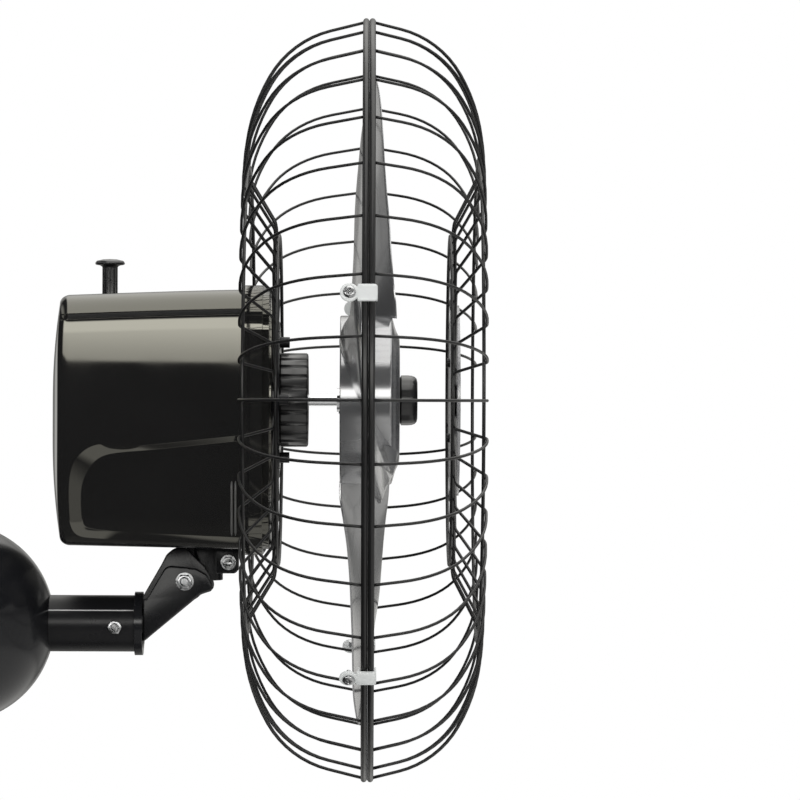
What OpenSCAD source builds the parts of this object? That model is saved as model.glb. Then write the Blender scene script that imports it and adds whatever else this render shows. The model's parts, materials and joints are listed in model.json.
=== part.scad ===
// Wall mounted fan, built the way the real one goes together.
// Row frame: the wall face is y = 0 and the fan stands out along -Y. The arm axis is z = 0, +Z is up.
// Head pieces are drawn in a head frame: x across, y up from the fan axis, z out from the wall.
// Arm pieces are drawn in an arm frame: x across, y up from the arm axis, z out from the wall.

/* [Layout] */
// Gap between the gear tray and the motor above it
motor_gap = 12.8; // [12.7:0.1:12.9]
// Distance of the swing axis in front of the tilt pivot
swing_ahead = 15.9; // [15.5:0.1:16.3]
// Reach of the tilt pivot beyond the arm's collar
tilt_reach = 36.1; // [36:0.1:36.3]
// Height of the tilt pivot above the arm axis
tilt_rise = 36.8; // [36.5:0.1:37]

/* [Wall plate and canopy] */
// How far the wall plate's rim lies inside the canopy's
plate_inset = 11; // [9:1:15]
// Thickness of the wall plate
plate_t = 5; // [4.5:0.5:6]
// Distance of the wall screws from the plate's rim
plate_hole_in = 12.8; // [10:0.2:16]
// Angle of each wall screw above the horizontal
plate_hole_angle = 38.4; // [30:0.2:50]
// Radius of each wall screw hole
plate_hole_r = 3.3; // [2.5:0.1:4]
// Wall thickness of the socket that takes the arm
socket_t = 5.9; // [4:0.1:8]
// How far the socket reaches out from the wall
socket_reach = 34; // [28:1:40]
// Radius of the canopy's dome
dome_r = 85; // [84:0.5:86]
// Distance of the dome's centre from the wall
dome_out = 4.3; // [3:0.1:6]
// Wall thickness of the canopy
dome_t = 2.5; // [2:0.5:3.5]
// Radius of the small round access hole high on the dome
dome_hole_r = 2.6; // [1.5:0.1:3]
// Angle of that hole above the arm axis
dome_hole_angle = 49.5; // [40:0.5:60]

/* [Arm] */
// Outer radius of the arm tube
arm_r = 24; // [23:0.5:25]
// Wall thickness of the arm tube
arm_t = 3; // [2:0.5:4]
// Distance from the wall to the arm tube's end
arm_end = 158; // [157:0.5:159]
// How far the arm's collar stands out round the tube
collar_step = 3; // [1.5:0.5:4]
// Length of the collar in front of the arm tube
collar_l = 7; // [6:0.5:7]
// Distance of the cross bolt behind the arm's end
arm_bolt_in = 16; // [12:1:20]
// Drop of the cross bolt below the arm axis
arm_bolt_drop = 2; // [0:0.5:3]
// Radius of the cross bolt's shank
arm_bolt_r = 3; // [2.5:0.5:4]
// Corner radius of the cross bolt's hex head and nut
arm_hex_r = 6.3; // [5.5:0.1:7]
// Thickness of the cross bolt's head and nut
arm_hex_t = 4.5; // [3.5:0.5:5.5]
// Length of the yoke's spigot inside the tube
spigot_l = 46; // [33:1:53]

/* [Yoke and knuckle] */
// Half width of the yoke
yoke_half = 23; // [22.5:0.5:24]
// Half width of the slot between the yoke's ears
slot_half = 16; // [15.5:0.5:17]
// Half width of the knuckle's tongue between the ears
tongue_half = 15.7; // [14.7:0.1:15.7]
// Radius of the knuckle's tongue round the pivot
tongue_r = 21; // [18:0.5:21.5]
// Radius of the pivot bolt
pivot_r = 5; // [4:0.5:5.5]
// Corner radius of the pivot bolt's hex head and nut
pivot_hex_r = 8.3; // [7.5:0.1:9]
// Thickness of the pivot bolt's head and nut
pivot_hex_t = 6; // [5:0.5:7]
// Radius of the washers under the pivot bolt's head and nut
pivot_washer_r = 10.5; // [9.5:0.5:11]
// Thickness of those washers
pivot_washer_t = 1.6; // [1:0.2:2]
// Height of the knuckle's top above the tilt pivot
knuckle_h = 29.6; // [29.2:0.1:29.7]
// Height of the clamp lug
lug_h = 23.2; // [20.4:0.2:24.4]
// Reach of the clamp lug in front of the swing axis
lug_reach = 29.2; // [26:0.2:30]
// Width of the saw cut through the clamp lug
lug_split = 3; // [2:0.5:4]
// Distance of the clamp bolt in front of the swing axis
lug_bolt_ahead = 20.7; // [20:0.1:21.5]
// Depth of the clamp bolt below the knuckle's top
lug_bolt_drop = 13.7; // [12.4:0.1:15.4]
// Radius of the clamp bolt
lug_bolt_r = 3; // [2.5:0.5:3.5]
// Corner radius of the clamp bolt's head and nut
lug_hex_r = 6.6; // [6:0.1:7]
// Thickness of the clamp bolt's head and nut
lug_hex_t = 4; // [3:0.5:5]
// Radius of the swing post
post_r = 9; // [8:0.5:9.5]
// Depth of the swing post below the knuckle's top
post_l = 21.9; // [18.4:0.5:22.4]
// Thickness of the lever plate on the knuckle
lever_t = 2.4; // [2:0.1:2.5]
// Radius of the lever plate round the post
lever_r = 14; // [13:0.5:15]
// Distance of the lever's pin from the swing axis
lever_throw = 15.6; // [15.2:0.1:16]
// Radius of the lever's pin
lever_pin_r = 2.5; // [2:0.1:2.8]

/* [Motor housing] */
// Half width of the motor housing
house_half = 100; // [96:1:100]
// How far the housing reaches below the knuckle's top
house_sink = 1.2; // [0.6:0.1:1.6]
// Height of the housing's top above the motor
house_head = 26.8; // [26.4:0.1:27.2]
// Corner radius of the housing seen from the front
house_corner = 34; // [28:1:40]
// Distance from the wall to the housing's crowned back
house_back = 88.3; // [88:0.1:89]
// Depth from the crowned back to the shoulder of the sides
house_shoulder = 10.5; // [9:0.5:12]
// Wall thickness of the housing
house_t = 3.4; // [3.2:0.1:3.8]
// Depth of the finger pocket in each side
pocket_depth = 1.4; // [1:0.1:1.6]
// Depth of the groove along each side
groove_depth = 1; // [0.5:0.1:1.4]
// Width of the groove along each side
groove_w = 5; // [3:0.5:7]
// Height of that groove above the fan axis
groove_lift = 72.2; // [70:0.1:74.7]
// Distance of the switch knob behind the motor's rear boss
knob_in = 19.6; // [19.5:0.1:19.8]
// Distance of the switch knob beside the fan axis
knob_side = 19; // [19:0.01:19.02]
// Length of the oval hole round the knob
knob_hole_l = 25; // [22:0.5:28]
// Width of the oval hole round the knob
knob_hole_w = 17; // [15:0.5:20]

/* [Front cover and guard seat] */
// How far the front cover stands out at the housing's sides
cover_lip = 3.4; // [2:0.1:5]
// How far it stands out above and below
cover_lip_z = 3.7; // [2.8:0.1:4.8]
// Depth of the front cover's rim
cover_rim = 15.2; // [13.2:0.1:16.2]
// Depth of the step to the front cover's face
cover_rise_l = 5.4; // [5:0.1:5.5]
// Width of the step round the front cover's face
cover_step_w = 5; // [3:0.5:7]
// Radius of the round boss on the front cover
boss_r = 88; // [84:0.5:92]
// Height of the round boss on the front cover's face
boss_h = 1.7; // [0.8:0.1:1.7]
// Radius of the rear guard's centre plate
hub_plate_r = 59; // [58:0.5:60]
// Thickness of the rear guard's centre plate
hub_plate_t = 6; // [5:0.5:6]
// Radius of the circle of guard screws
guard_screw_circle = 49; // [48:0.5:50]
// Radius of each guard screw's head
guard_screw_r = 4.6; // [4:0.2:5]
// Length of each guard screw's head
guard_screw_h = 7.8; // [6:0.2:8]
// Outer radius of the ribbed nut that locks the guard
nut_r = 40; // [38:0.5:42]
// Length of the ribbed nut
nut_l = 23.75; // [21.75:0.25:25.75]
// Number of ribs round the nut
nut_ribs = 24; // [12:1:32]
// Depth of the grooves between the nut's ribs
nut_rib_depth = 1.6; // [1:0.1:2]

/* [Guards] */
// Number of radial wires in each guard
wire_count = 40; // [40]
// Radius of each guard wire
wire_r = 1.25; // [1:0.05:1.4]
// Radius of the rim circle, at its wire's centre
rim_r = 322; // [320:0.5:324]
// Radius of the rim wire
rim_wire_r = 2.4; // [2:0.1:2.5]
// Angle at which the wires leave the rim
leave_angle = 14; // [12:0.5:16]
// Angle where the side bend passes into the face bend
bend_angle = 60; // [58:0.5:62]
// Length of the front wires' straight side
front_side = 22.4; // [21:0.1:23]
// Radius of the front wires' side bend
front_bend = 80; // [76:1:84]
// Radius of the front guard's crest
front_crest_r = 205.4; // [203:0.2:208]
// Length of the front wires' flat crest
front_crest = 5; // [3:0.5:7]
// Angle of the front dish's cone
front_cone_angle = 27; // [25:0.5:29]
// Length of the front dish's cone
front_cone = 46.5; // [44:0.5:48]
// Length of the rear wires' straight side
rear_side = 28.5; // [27:0.1:29]
// Radius of the rear wires' side bend
rear_bend = 82; // [78:1:84]
// Radius of the rear guard's crest
rear_crest_r = 198.4; // [197:0.2:201]
// Length of the rear wires' flat crest
rear_crest = 1; // [1:0.5:3]
// Angle of the rear dish's cone
rear_cone_angle = 31; // [29:0.5:33]
// Length of the rear dish's cone
rear_cone = 43; // [41:0.5:45]
// Radius of the small bends at the dish
dish_bend = 13; // [10:1:15]
// Radius of the front guard's innermost ring
badge_ring_r = 72; // [68:1:74]

/* [Badge and clips] */
// Radius of the bare badge on the front guard
badge_r = 81; // [79:0.5:83]
// Thickness of the badge at its edge
badge_t = 4.4; // [3:0.2:5]
// How far the badge's face bulges
badge_bulge = 1.3; // [0.6:0.1:1.8]
// Height of the badge screws above and below the fan axis
badge_screw_rise = 32; // [28:1:36]
// Width of each guard clip
clip_w = 15; // [12:0.5:16]
// Distance from the rim plane to a clip's front
clip_front = 9.2; // [8.5:0.1:10]
// Distance from the rim plane to a clip's back
clip_back = 23.7; // [22:0.1:25]
// Wall thickness of a clip
clip_t = 3; // [2.4:0.2:3.4]
// Radius of each clip screw's head
clip_screw_r = 5; // [4:0.2:5.6]
// Distance from the rim plane to a clip screw
clip_screw_back = 15; // [14:0.5:16]
// Angles of the four clips round the rim
clip_angles = [165, 223, 15, -43];

/* [Rotor] */
// Radius of the motor shaft
shaft_r = 5; // [4.5:0.1:5.5]
// Gap between the blade tips and the rim circle
tip_gap = 28; // [24:1:32]
// Outer radius of the blade hub
hub_r = 72; // [70:0.5:74]
// Depth of the blade hub's skirt behind the rim plane
hub_back = 24; // [23:0.5:25]
// Height of the blade hub's face in front of the rim plane
hub_face = 26.6; // [26:0.1:26.6]
// Wall thickness of the blade hub
hub_t = 3.2; // [2.8:0.2:4]
// Thickness of a blade at its tip
blade_t = 2.6; // [2.2:0.1:3.2]
// Extra thickness of a blade at its root
blade_root_t = 1.8; // [1:0.2:2.6]
// Camber of a blade at its middle
blade_camber = 6; // [3:0.5:8]
// Number of blades
blade_count = 3; // [3]
// Radius of the blade nut
blade_nut_r = 21.3; // [20:0.1:22]
// Length of the blade nut
blade_nut_l = 15.2; // [14:0.2:16]
// Radius of the collar on the shaft
stop_r = 10; // [9:0.5:11]
// Length of the collar on the shaft
stop_l = 6.4; // [6:0.1:6.6]
// Depth of the hub's boss behind the rim plane
boss_depth = 20.2; // [20.1:0.1:20.5]

/* [Motor and gears] */
// Outer radius of the motor's end bells
bell_r = 66; // [65:0.5:68]
// Wall thickness of the end bells
bell_t = 4; // [3.5:0.5:4]
// Gap between the motor's front bell and the housing's front edge
bell_gap = 11.8; // [11.3:0.1:12.3]
// Radius of the rotor core
core_r = 30.4; // [29:0.1:30.4]
// Radius of the capacitor
cap_r = 14; // [12:1:15]
// Length of the capacitor
cap_l = 62; // [50:1:70]
// Gear module, the pitch diameter for each tooth
gear_module = 1; // [1:0.01:1.02]
// Teeth of the worm wheel
wheel_teeth = 28; // [28]
// Teeth of the pinion under it
pinion_teeth = 10; // [10]
// Teeth of the crank gear
crank_teeth = 50; // [50]
// Distance of the crank pin from the crank gear's axis
crank_throw = 11; // [10:0.5:11]
// Radius of the gear spindle
spindle_r = 2.5; // [2:0.1:2.5]
// Radius of the switch knob's stem
stem_r = 6.7; // [6:0.1:7]
// Radius of the switch knob's cap
knob_r = 12.85; // [12:0.05:13]
// Height of the switch knob's top above the housing
knob_rise = 27.3; // [26.4:0.1:28.4]
// Thickness of the switch knob's cap
knob_cap_t = 5.5; // [5:0.5:7]

/* [Hidden] */
$fn = 64;
turn = 360;
half_turn = 180;
quarter = 90;
eighth = 45;
// Small working gaps
fit = 0.05;
seat = 0.1;
slip = 0.3;
// Cuts reach this far past the faces they open
over = 1;
axle_fit = 0.05;

// Wall plate
plate_r = dome_r - plate_inset;
plate_hole_circle = plate_r - plate_hole_in;
socket_r = arm_r + seat + socket_t;
plate_edge = 1.2;
socket_bore = arm_r + seat;
// Canopy
dome_inner = dome_r - dome_t;
dome_mouth = arm_r + slip;
mouth_slot_w = 9;
mouth_slot_l = 30;
// Arm and yoke
arm_start = plate_t + fit;
collar_end = arm_end + collar_l;
collar_r = arm_r + collar_step;
arm_bolt_out = arm_end - arm_bolt_in;
spigot_start = arm_end - spigot_l;
tilt_out = collar_end + tilt_reach;
swing_out = tilt_out + swing_ahead;
arm_bore = arm_r - arm_t;
spigot_r = arm_bore - seat;
spigot_end = arm_end + seat;
yoke_shares = [
  [0.0068, 0.6279], [0.4485, 1.3858], [0.5677, 1.6170], [0.8006, 1.7471], [0.9526, 1.7935],
  [1.1058, 1.6859], [1.4707, 1.3531], [1.5844, 1.1547], [1.6590, 0.8913], [1.6261, 0.7743],
  [1.4707, 0.7284], [1.3877, 0.7120], [0.0558, -0.3803], [0.0068, -0.3803]
];
yoke_base_l = 13;
yoke_base_end = collar_end + yoke_base_l;
yoke_base_r = 23.4;
pivot_span = yoke_half + pivot_washer_t;
pivot_bore = pivot_r + fit;
// Knuckle
lug_half = 12;
lug_span = lug_half + fit;
floor_step = 0.2;
knuckle_top = tilt_rise + knuckle_h;
lug_bottom = knuckle_top - lug_h;
lug_end = swing_out + lug_reach;
lug_bolt_out = swing_out + lug_bolt_ahead;
lug_bolt_rise = knuckle_top - lug_bolt_drop;
post_bottom = knuckle_top - post_l;
knuckle_floor = tilt_rise + floor_step;
lever_z = knuckle_top + fit;
lever_pin_l = 12.05;
lever_pin_top = lever_z + lever_pin_l;
post_bore = post_r + axle_fit;
// Housing
link_lift = 0.5;
link_z = lever_pin_top + link_lift;
gear_lift = 20.5;
gear_z = link_z + gear_lift;
case_foot = 7.5;
case_z0 = gear_z - case_foot;
tray_l = 20;
tray_top = case_z0 + tray_l;
axis_rise = tray_top + motor_gap + bell_r;
house_top = axis_rise + bell_r + house_head;
house_floor = knuckle_top - house_sink;
house_half_z = (house_top - house_floor) / 2;
house_rise = house_floor + house_half_z;
recess_r = 33;
floor_boss_wall = 2.5;
floor_boss_r = recess_r + floor_boss_wall;
house_front = swing_out + floor_boss_r + slip;
house_depth = house_front - house_back;
front_bell_l = 40;
bell_front = house_front - bell_gap;
bell_l = 41;
bell_joint = bell_front - front_bell_l;
bell_back = bell_joint - bell_l;
rear_boss_l = 5.8;
rear_boss_out = bell_back - rear_boss_l;
groove_rise = axis_rise + groove_lift;
knob_out = rear_boss_out - knob_in;
recess_gap = 3;
recess_top = knuckle_top + recess_gap;
floor_boss_t = 4.6;
floor_boss_top = recess_top + floor_boss_t;
post_flange_t = 4;
post_flange_z = floor_boss_top + seat;
slot_play = 0.9;
slot_inner = lever_throw - lever_pin_r - slot_play;
post_flange_r = slot_inner - 2 * slip;
slot_outer = lever_throw + lever_pin_r + slot_play;
slot_reach_angle = 62;
draft = 2;
crown_points = 13;
edge_round = 7;
round_steps = 6;
pocket_shares = [
  [0.0839, 0.1417], [0.1385, 0.2521], [0.2027, 0.3130], [0.4753, 0.3086], [0.9975, 0.3917],
  [0.9975, 0.3401], [0.4753, 0.2496], [0.2723, 0.2278], [0.2027, 0.1458], [0.1577, 0.0363],
  [0.1366, -0.0634], [0.1336, -0.1634], [0.1396, -0.4327], [0.1701, -0.4586], [0.3813, -0.4933],
  [0.9975, -0.5542], [0.9975, -0.6063], [0.0839, -0.6063]
];
rib_back = 10.8;
rib_out = house_front - rib_back;
rib_w = 1.4;
rib_h = 2.4;
rib_gap = 3.2;
rib_drop = 91.4;
rib_z = axis_rise - rib_drop;
rib_half = 23.6;
// Front cover
cover_t = 3;
cover_half = house_half + cover_lip;
cover_half_z = house_half_z + cover_lip_z;
cover_step = house_front + cover_rim;
cover_front = cover_step + cover_rise_l;
boss_front = cover_front + boss_h;
cover_corner = house_corner + cover_lip;
cover_drop = 0.6;
cover_rise = house_rise - cover_drop;
cover_play = 1;
cover_back = house_front + fit;
cover_seat = cover_front - cover_t;
nose_r = 26;
cover_bore = nose_r + cover_play;
plate_back = boss_front + fit;
plate_front = plate_back + hub_plate_t;
nut_back = plate_front + seat;
nut_bore = nose_r + seat;
nut_face_t = 4;
nut_front = nut_back + nut_l;
nose_gap = 1;
nose_end = nut_front - nut_face_t - nose_gap;
nut_play = 4;
nut_hole = shaft_r + nut_play;
guard_shank_r = 2.5;
guard_screw_start = plate_front + fit;
guard_shank_l = 19.2;
guard_shank_end = guard_screw_start - guard_shank_l;
// Guards
ring_r = 1.5;
wire_seat = 0.06;
rim_gap = 0.3;
rim_off = rim_wire_r + rim_gap;
first_wire = rim_wire_r + wire_seat;
first_ring = ring_r + wire_seat;

// Wire path: line and arc steps, each [length or radius, heading at start, heading at end]
function step_line(l, h) = [l, h, h, 0];
function step_arc(r, h0, h1) = [r, h0, h1, 1];
function step_move(s) =
  s[3] == 0 ? [-s[0] * sin(s[1]), s[0] * cos(s[1])]
  : let (way = s[2] > s[1] ? 1 : -1)
   [-way * s[0] * (cos(s[1]) - cos(s[2])), way * s[0] * (sin(s[2]) - sin(s[1]))];
function path_from(steps, p, i = 0) =
  i >= len(steps) ? [p] : concat([p], path_from(steps, p + step_move(steps[i]), i + 1));
function unit(v) = v / norm(v);
function side_of(d) = [-d[1], d[0]];
// The path's points, with bend_shares points on each step
function wire_points(steps, path, flat) =
  concat(
    [path[0]],
    [
      for (i = [0 : len(steps) - 1], k = [1 : bend_shares[i]])
        let (s = steps[i])
        k == bend_shares[i] ? path[i + 1]
        : path[i] + step_move([s[0], s[1], s[1] + (s[2] - s[1]) * k / bend_shares[i], s[3]])
    ],
    [path[len(steps)] + step_move(step_line(flat, quarter))]
  );
bend_shares = [1, 4, 3, 1, 2, 1, 2];
wire_sides = 8;

front_start = [rim_r - first_wire * sin(leave_angle), rim_off + first_wire * cos(leave_angle)];
// Radius of the face bend that brings a wire from its side bend to its crest
function face_bend(side, bend, crest) =
  (front_start[0] - side * sin(leave_angle) - bend * (cos(leave_angle) - cos(bend_angle)) - crest) / cos(bend_angle);
front_face_bend = face_bend(front_side, front_bend, front_crest_r);
rear_face_bend = face_bend(rear_side, rear_bend, rear_crest_r);
front_steps = [
  step_line(front_side, leave_angle),
  step_arc(front_bend, leave_angle, bend_angle),
  step_arc(front_face_bend, bend_angle, quarter),
  step_line(front_crest, quarter),
  step_arc(dish_bend, quarter, quarter + front_cone_angle),
  step_line(front_cone, quarter + front_cone_angle),
  step_arc(dish_bend, quarter + front_cone_angle, quarter)
];
front_path = path_from(front_steps, front_start);
front_last = front_path[len(front_steps)];
front_flat = front_last[0] - badge_ring_r - first_ring;
rear_steps = [
  step_line(rear_side, leave_angle),
  step_arc(rear_bend, leave_angle, bend_angle),
  step_arc(rear_face_bend, bend_angle, quarter),
  step_line(rear_crest, quarter),
  step_arc(dish_bend, quarter, quarter + rear_cone_angle),
  step_line(rear_cone, quarter + rear_cone_angle),
  step_arc(dish_bend, quarter + rear_cone_angle, quarter)
];
rear_path = path_from(rear_steps, front_start);
rear_last = rear_path[len(rear_steps)];
rear_flat = rear_last[0] - hub_plate_r - wire_seat;
front_level = front_last[1];
rear_level = rear_last[1];
front_top = front_path[3][1];
rear_top = rear_path[3][1];
ring_drop = wire_r + ring_r + wire_seat;
dish_ring_in = 7.1;
front_ring_r = front_last[0] - dish_ring_in;
rear_ring_r = rear_last[0] - dish_ring_in;
// The rear wires end this far in front of the boss, and that places the rim
wire_lift = 2.065;
rim_out = boss_front + wire_lift + rear_level;
// Badge
badge_back = front_level + wire_r + slip;
badge_plate_t = 1.2;
badge_plate_top = front_level - ring_r - seat;
badge_plate_in = 4;
badge_plate_r = badge_r - badge_plate_in;
badge_boss_r = 5;
badge_screw_r = 1.8;
badge_head_r = 3.8;
badge_head_t = 2.6;
badge_edge = 0.8;
badge_steps = 8;
// Clips
clip_outer = rim_r + rim_wire_r + seat;
clip_half_gap = rim_off + rim_wire_r + seat;
clip_lip = 5.4;
clip_rear_lip = clip_half_gap + clip_t;
clip_screw_head_t = 2.8;
clip_shank_r = 1.9;
clip_shank_l = 9;
clip_ear_r = clip_w / 2;
// Rotor
hub_edge = 6.8;
hub_face_r = 53;
boss_wall = 4;
boss_outer = stop_r + boss_wall;
boss_back = -boss_depth;
stop_out = rim_out - boss_depth - seat - stop_l;
tip_r = rim_r - tip_gap;
shaft_bore = shaft_r + fit;
journal_r = 3;
nut_start = rim_out + hub_face + seat;
shaft_tip = 10.3;
shaft_end = nut_start + shaft_tip;
nut_dome = 4;
nut_hollow = 11.6;
nut_grooves = 12;
nut_groove_r = 1.3;
stop_screw_r = 1.6;
stop_screw_l = 6.4;
first_blade_angle = 0.7;
blade_root_r = hub_r - hub_t / 2;
span_shares = [0, 0.06, 0.14, 0.24, 0.36, 0.48, 0.6, 0.72, 0.83, 0.91, 0.96, 0.985, 1];
half_span_angles = [40, 39.4, 37, 32, 26.8, 24, 22, 20.5, 19.2, 18, 16.4, 14.2, 10];
fore_shares = [0.985, 0.96, 0.88, 0.8, 0.74, 0.64, 0.56, 0.5, 0.44, 0.36, 0.28, 0.24, 0.18];
aft_shares = [0.985, 0.98, 0.86, 0.72, 0.63, 0.58, 0.54, 0.52, 0.5, 0.42, 0.34, 0.29, 0.22];
chord_steps = 8;
camber_fade_share = 0.4;
edge_share = 0.45;
belly_share = 2.2;
// Motor
stator_r = bell_r - bell_t - seat;
stator_bore = core_r + 2 * slip;
stator_in = 20;
stator_l = 42;
stator_start = bell_back + stator_in;
stator_end = stator_start + stator_l;
coil_clear = 3.6;
coil_inner = core_r + coil_clear;
coil_l = 11;
coil_round = 3;
bell_inner = bell_r - bell_t;
bearing_r = 11;
bearing_l = 7;
bearing_in = 2;
rear_bearing_out = bell_back + bearing_in;
bearing_wall = 4;
rear_boss_r = bearing_r + bearing_wall;
nose_depth = 12;
front_bearing_out = nose_end - nose_depth;
bore_play = 2;
bore_small = shaft_r + bore_play;
tie_in = 6.4;
tie_circle = stator_r - tie_in;
coil_gap = 5.5;
coil_outer = tie_circle - coil_gap;
tie_r = 2;
tie_head_r = 3.6;
tie_head_t = 2.8;
pedestal_r = 34;
core_over = 1.5;
core_start = stator_start - core_over;
core_end = stator_end + core_over;
vent_r = 9;
vent_circle = 40;
// Gears
pitch_r = wheel_teeth * gear_module / 2;
worm_pitch_r = knob_side - pitch_r;
pressure_angle = 20;
wheel_thin_share = 0.72;
gear_thin_share = 0.8;
addendum_share = 0.9;
dedendum_share = 1.15;
addendum = addendum_share * gear_module;
dedendum = dedendum_share * gear_module;
tooth_pitch = PI * gear_module;
worm_start = knob_out - 4 * tooth_pitch;
shaft_tail = 2.53;
shaft_start = worm_start - shaft_tail;
worm_turns = 7;
worm_steps = 7;
worm_sides = 16;
worm_land_share = 0.08;
worm_foot_share = 0.24;
worm_l = worm_turns * tooth_pitch;
worm_crest = worm_pitch_r + addendum;
worm_root = worm_pitch_r - dedendum;
pinion_pitch_r = pinion_teeth * gear_module / 2;
crank_pitch_r = crank_teeth * gear_module / 2;
gear_centre = pinion_pitch_r + crank_pitch_r;
crank_shift = 18;
crank_side = knob_side - crank_shift;
crank_out = knob_out + sqrt(gear_centre * gear_centre - crank_shift * crank_shift);
wheel_t = 6;
gear_t = 6;
wheel_z = axis_rise - wheel_t / 2;
spindle_l = 10;
spindle_gap = 1.2;
thin_pin_r = spindle_r - seat;
crank_boss_r = 7;
crank_boss_l = 6.1;
crank_axle_z = gear_z - crank_boss_l;
crank_pin_r = 2.4;
pin_gap = 0.4;
crank_pin_bottom = link_z + pin_gap;
link_t = 2.6;
link_half = 4.2;
link_bore = crank_pin_r + axle_fit;
case_t = 3;
case_left = 35;
case_right = 27;
case_rear = 19.6;
case_head = 29.2;
case_x0 = knob_side - case_left;
case_x1 = knob_side + case_right;
case_y0 = knob_out - case_rear;
case_y1 = rear_boss_out - 4 * fit;
spindle_bottom = case_z0 + case_t + spindle_gap;
case_z1 = axis_rise + case_head;
tray_bore = crank_pitch_r + 3 * gear_module;
tray_r = tray_bore + case_t;
hole_play = 1.8;
case_hole_r = crank_throw + crank_pin_r + hole_play;
lid_t = 3;
tray_shaft_r = 3;
// Knob
knob_top = house_top + knob_rise;
stem_l = 48.9;
stem_bottom = knob_top - stem_l;
spindle_top = stem_bottom + spindle_l;
stem_bore = spindle_r + axle_fit;
knob_roof = 10.9;
stem_bore_top = knob_top - knob_roof;
knob_flutes = 8;
flute_r = 1;
flute_out = 0.5;
// Loose pieces on the housing floor
block_l = 44;
block_w = 22;
block_h = 18;
floor_gap = 1.7;
floor_in = house_floor + house_t + floor_gap;
cap_in = 46;
cap_side = house_half - cap_in;
cap_start = 102.8;
cap_out = house_front - cap_start;
block_gap = 1;
block_out = swing_out - floor_boss_r - block_l - block_gap;
block_in = 44;
block_side = house_half - block_in;

// Direction of the pinion seen from the crank gear, and the tooth phase that meshes there
mesh_rise = crank_out - knob_out;
mesh_angle = atan2(mesh_rise, crank_shift);
pinion_step = turn / pinion_teeth;
pinion_turn = mesh_angle + half_turn;
pinion_rest = pinion_turn - pinion_step * round(pinion_turn / pinion_step);
crank_phase = mesh_angle + half_turn / crank_teeth - pinion_rest * pinion_teeth / crank_teeth;
// Link from the crank pin to the lever's pin
link_turn = atan2(crank_out - swing_out, lever_throw - crank_side) + quarter;
pin_side = crank_side + crank_throw * cos(link_turn);
pin_out = crank_out - crank_throw * sin(link_turn);
link_dx = lever_throw - pin_side;
link_dy = pin_out - swing_out;
link_l = sqrt(link_dx * link_dx + link_dy * link_dy);
link_angle = atan2(link_dy, link_dx);

// Frames and small helpers

// Head frame: z runs out from the wall, y is height above the fan axis
module head_frame() {
  translate([0, 0, axis_rise])
    rotate([quarter, 0, 0])
      children();
}

// Arm frame: the same, from the arm axis
module arm_frame() {
  rotate([quarter, 0, 0])
    children();
}

module out_by(d) {
  translate([0, 0, d])
    children();
}

// Ring of length l, with its rear face at z = 0
module sleeve(outer, inner, l) {
  difference() {
    cylinder(r = outer, h = l);
    out_by(-over)
      cylinder(r = inner, h = l + 2 * over);
  }
}

// Cylinder along x, centred
module cross_rod(r, l) {
  rotate([0, quarter, 0])
    cylinder(r = r, h = l, center = true);
}

module hex_rod(r, l) {
  cylinder(r = r, h = l, $fn = 6);
}

// Rounded rectangle by half sizes
module round_rect(hx, hy, c) {
  union() {
    square([2 * (hx - c), 2 * hy], center = true);
    square([2 * hx, 2 * (hy - c)], center = true);
    for (sx = [-1, 1], sy = [-1, 1])
      translate([sx * (hx - c), sy * (hy - c)])
        circle(r = c);
  }
}

// One guard wire in the radial plane: r runs along x, the axial way along y
module guard_wire(path) {
  last = len(path) - 1;
  points = [
    for (i = [0 : last])
      let (
        d0 = unit(path[max(i, 1)] - path[max(i, 1) - 1]),
        d1 = unit(path[min(i, last - 1) + 1] - path[min(i, last - 1)]),
        m = unit(side_of(d0) + side_of(d1)),
        mitre = wire_r / (m * side_of(d1))
      )
      for (j = [0 : wire_sides - 1])
        let (a = turn * (j + 0.5) / wire_sides)
        [path[i][0] + m[0] * mitre * cos(a), path[i][1] + m[1] * mitre * cos(a), wire_r * sin(a)]
  ];
  skin = [
    for (i = [0 : last - 1], j = [0 : wire_sides - 1])
      let (k = (j + 1) % wire_sides, q = i * wire_sides)
      for (f = [[q + j, q + k, q + wire_sides + k], [q + j, q + wire_sides + k, q + wire_sides + j]])
        f
  ];
  first_cap = [[for (j = [wire_sides - 1 : -1 : 0]) j]];
  last_cap = [[for (j = [0 : wire_sides - 1]) last * wire_sides + j]];
  polyhedron(points = points, faces = concat(skin, first_cap, last_cap), convexity = 4);
}

// Stand the radial plane up: its y becomes the head frame's z
module upright() {
  rotate([quarter, 0, 0])
    children();
}

module hoop(r, at, w) {
  out_by(at)
    rotate_extrude()
      translate([r, 0])
        circle(r = w);
}

// Gears

function inv_angle(r, base) =
  r <= base ? 0
  : sqrt(r * r / (base * base) - 1) * half_turn / PI - acos(base / r);

// Outline of a spur gear with involute flanks, thinned for play
function gear_points(teeth, thin) =
  let (
    rp = teeth * gear_module / 2,
    base = rp * cos(pressure_angle),
    ro = rp + addendum,
    ri = rp - dedendum,
    half = quarter / teeth * thin + inv_angle(rp, base),
    rs = [for (k = [0 : 3]) max(ri, base) + (ro - max(ri, base)) * k / 3]
  )
  [
    for (t = [0 : teeth - 1])
      let (c = t * turn / teeth)
      for (p = concat(
        [[ri, -half]],
        [for (k = [0 : 3]) [rs[k], -half + inv_angle(rs[k], base)]],
        [for (k = [3 : -1 : 0]) [rs[k], half - inv_angle(rs[k], base)]],
        [[ri, half]]
      ))
        [p[0] * cos(c + p[1]), p[0] * sin(c + p[1])]
  ];

// Worm thread as one closed skin: the radius follows a one-start helix about z
function worm_wave(f) =
  let (g = abs(f - round(f)))
  g < worm_land_share ? 1
  : g < worm_foot_share ? (worm_foot_share - g) / (worm_foot_share - worm_land_share) : 0;

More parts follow.
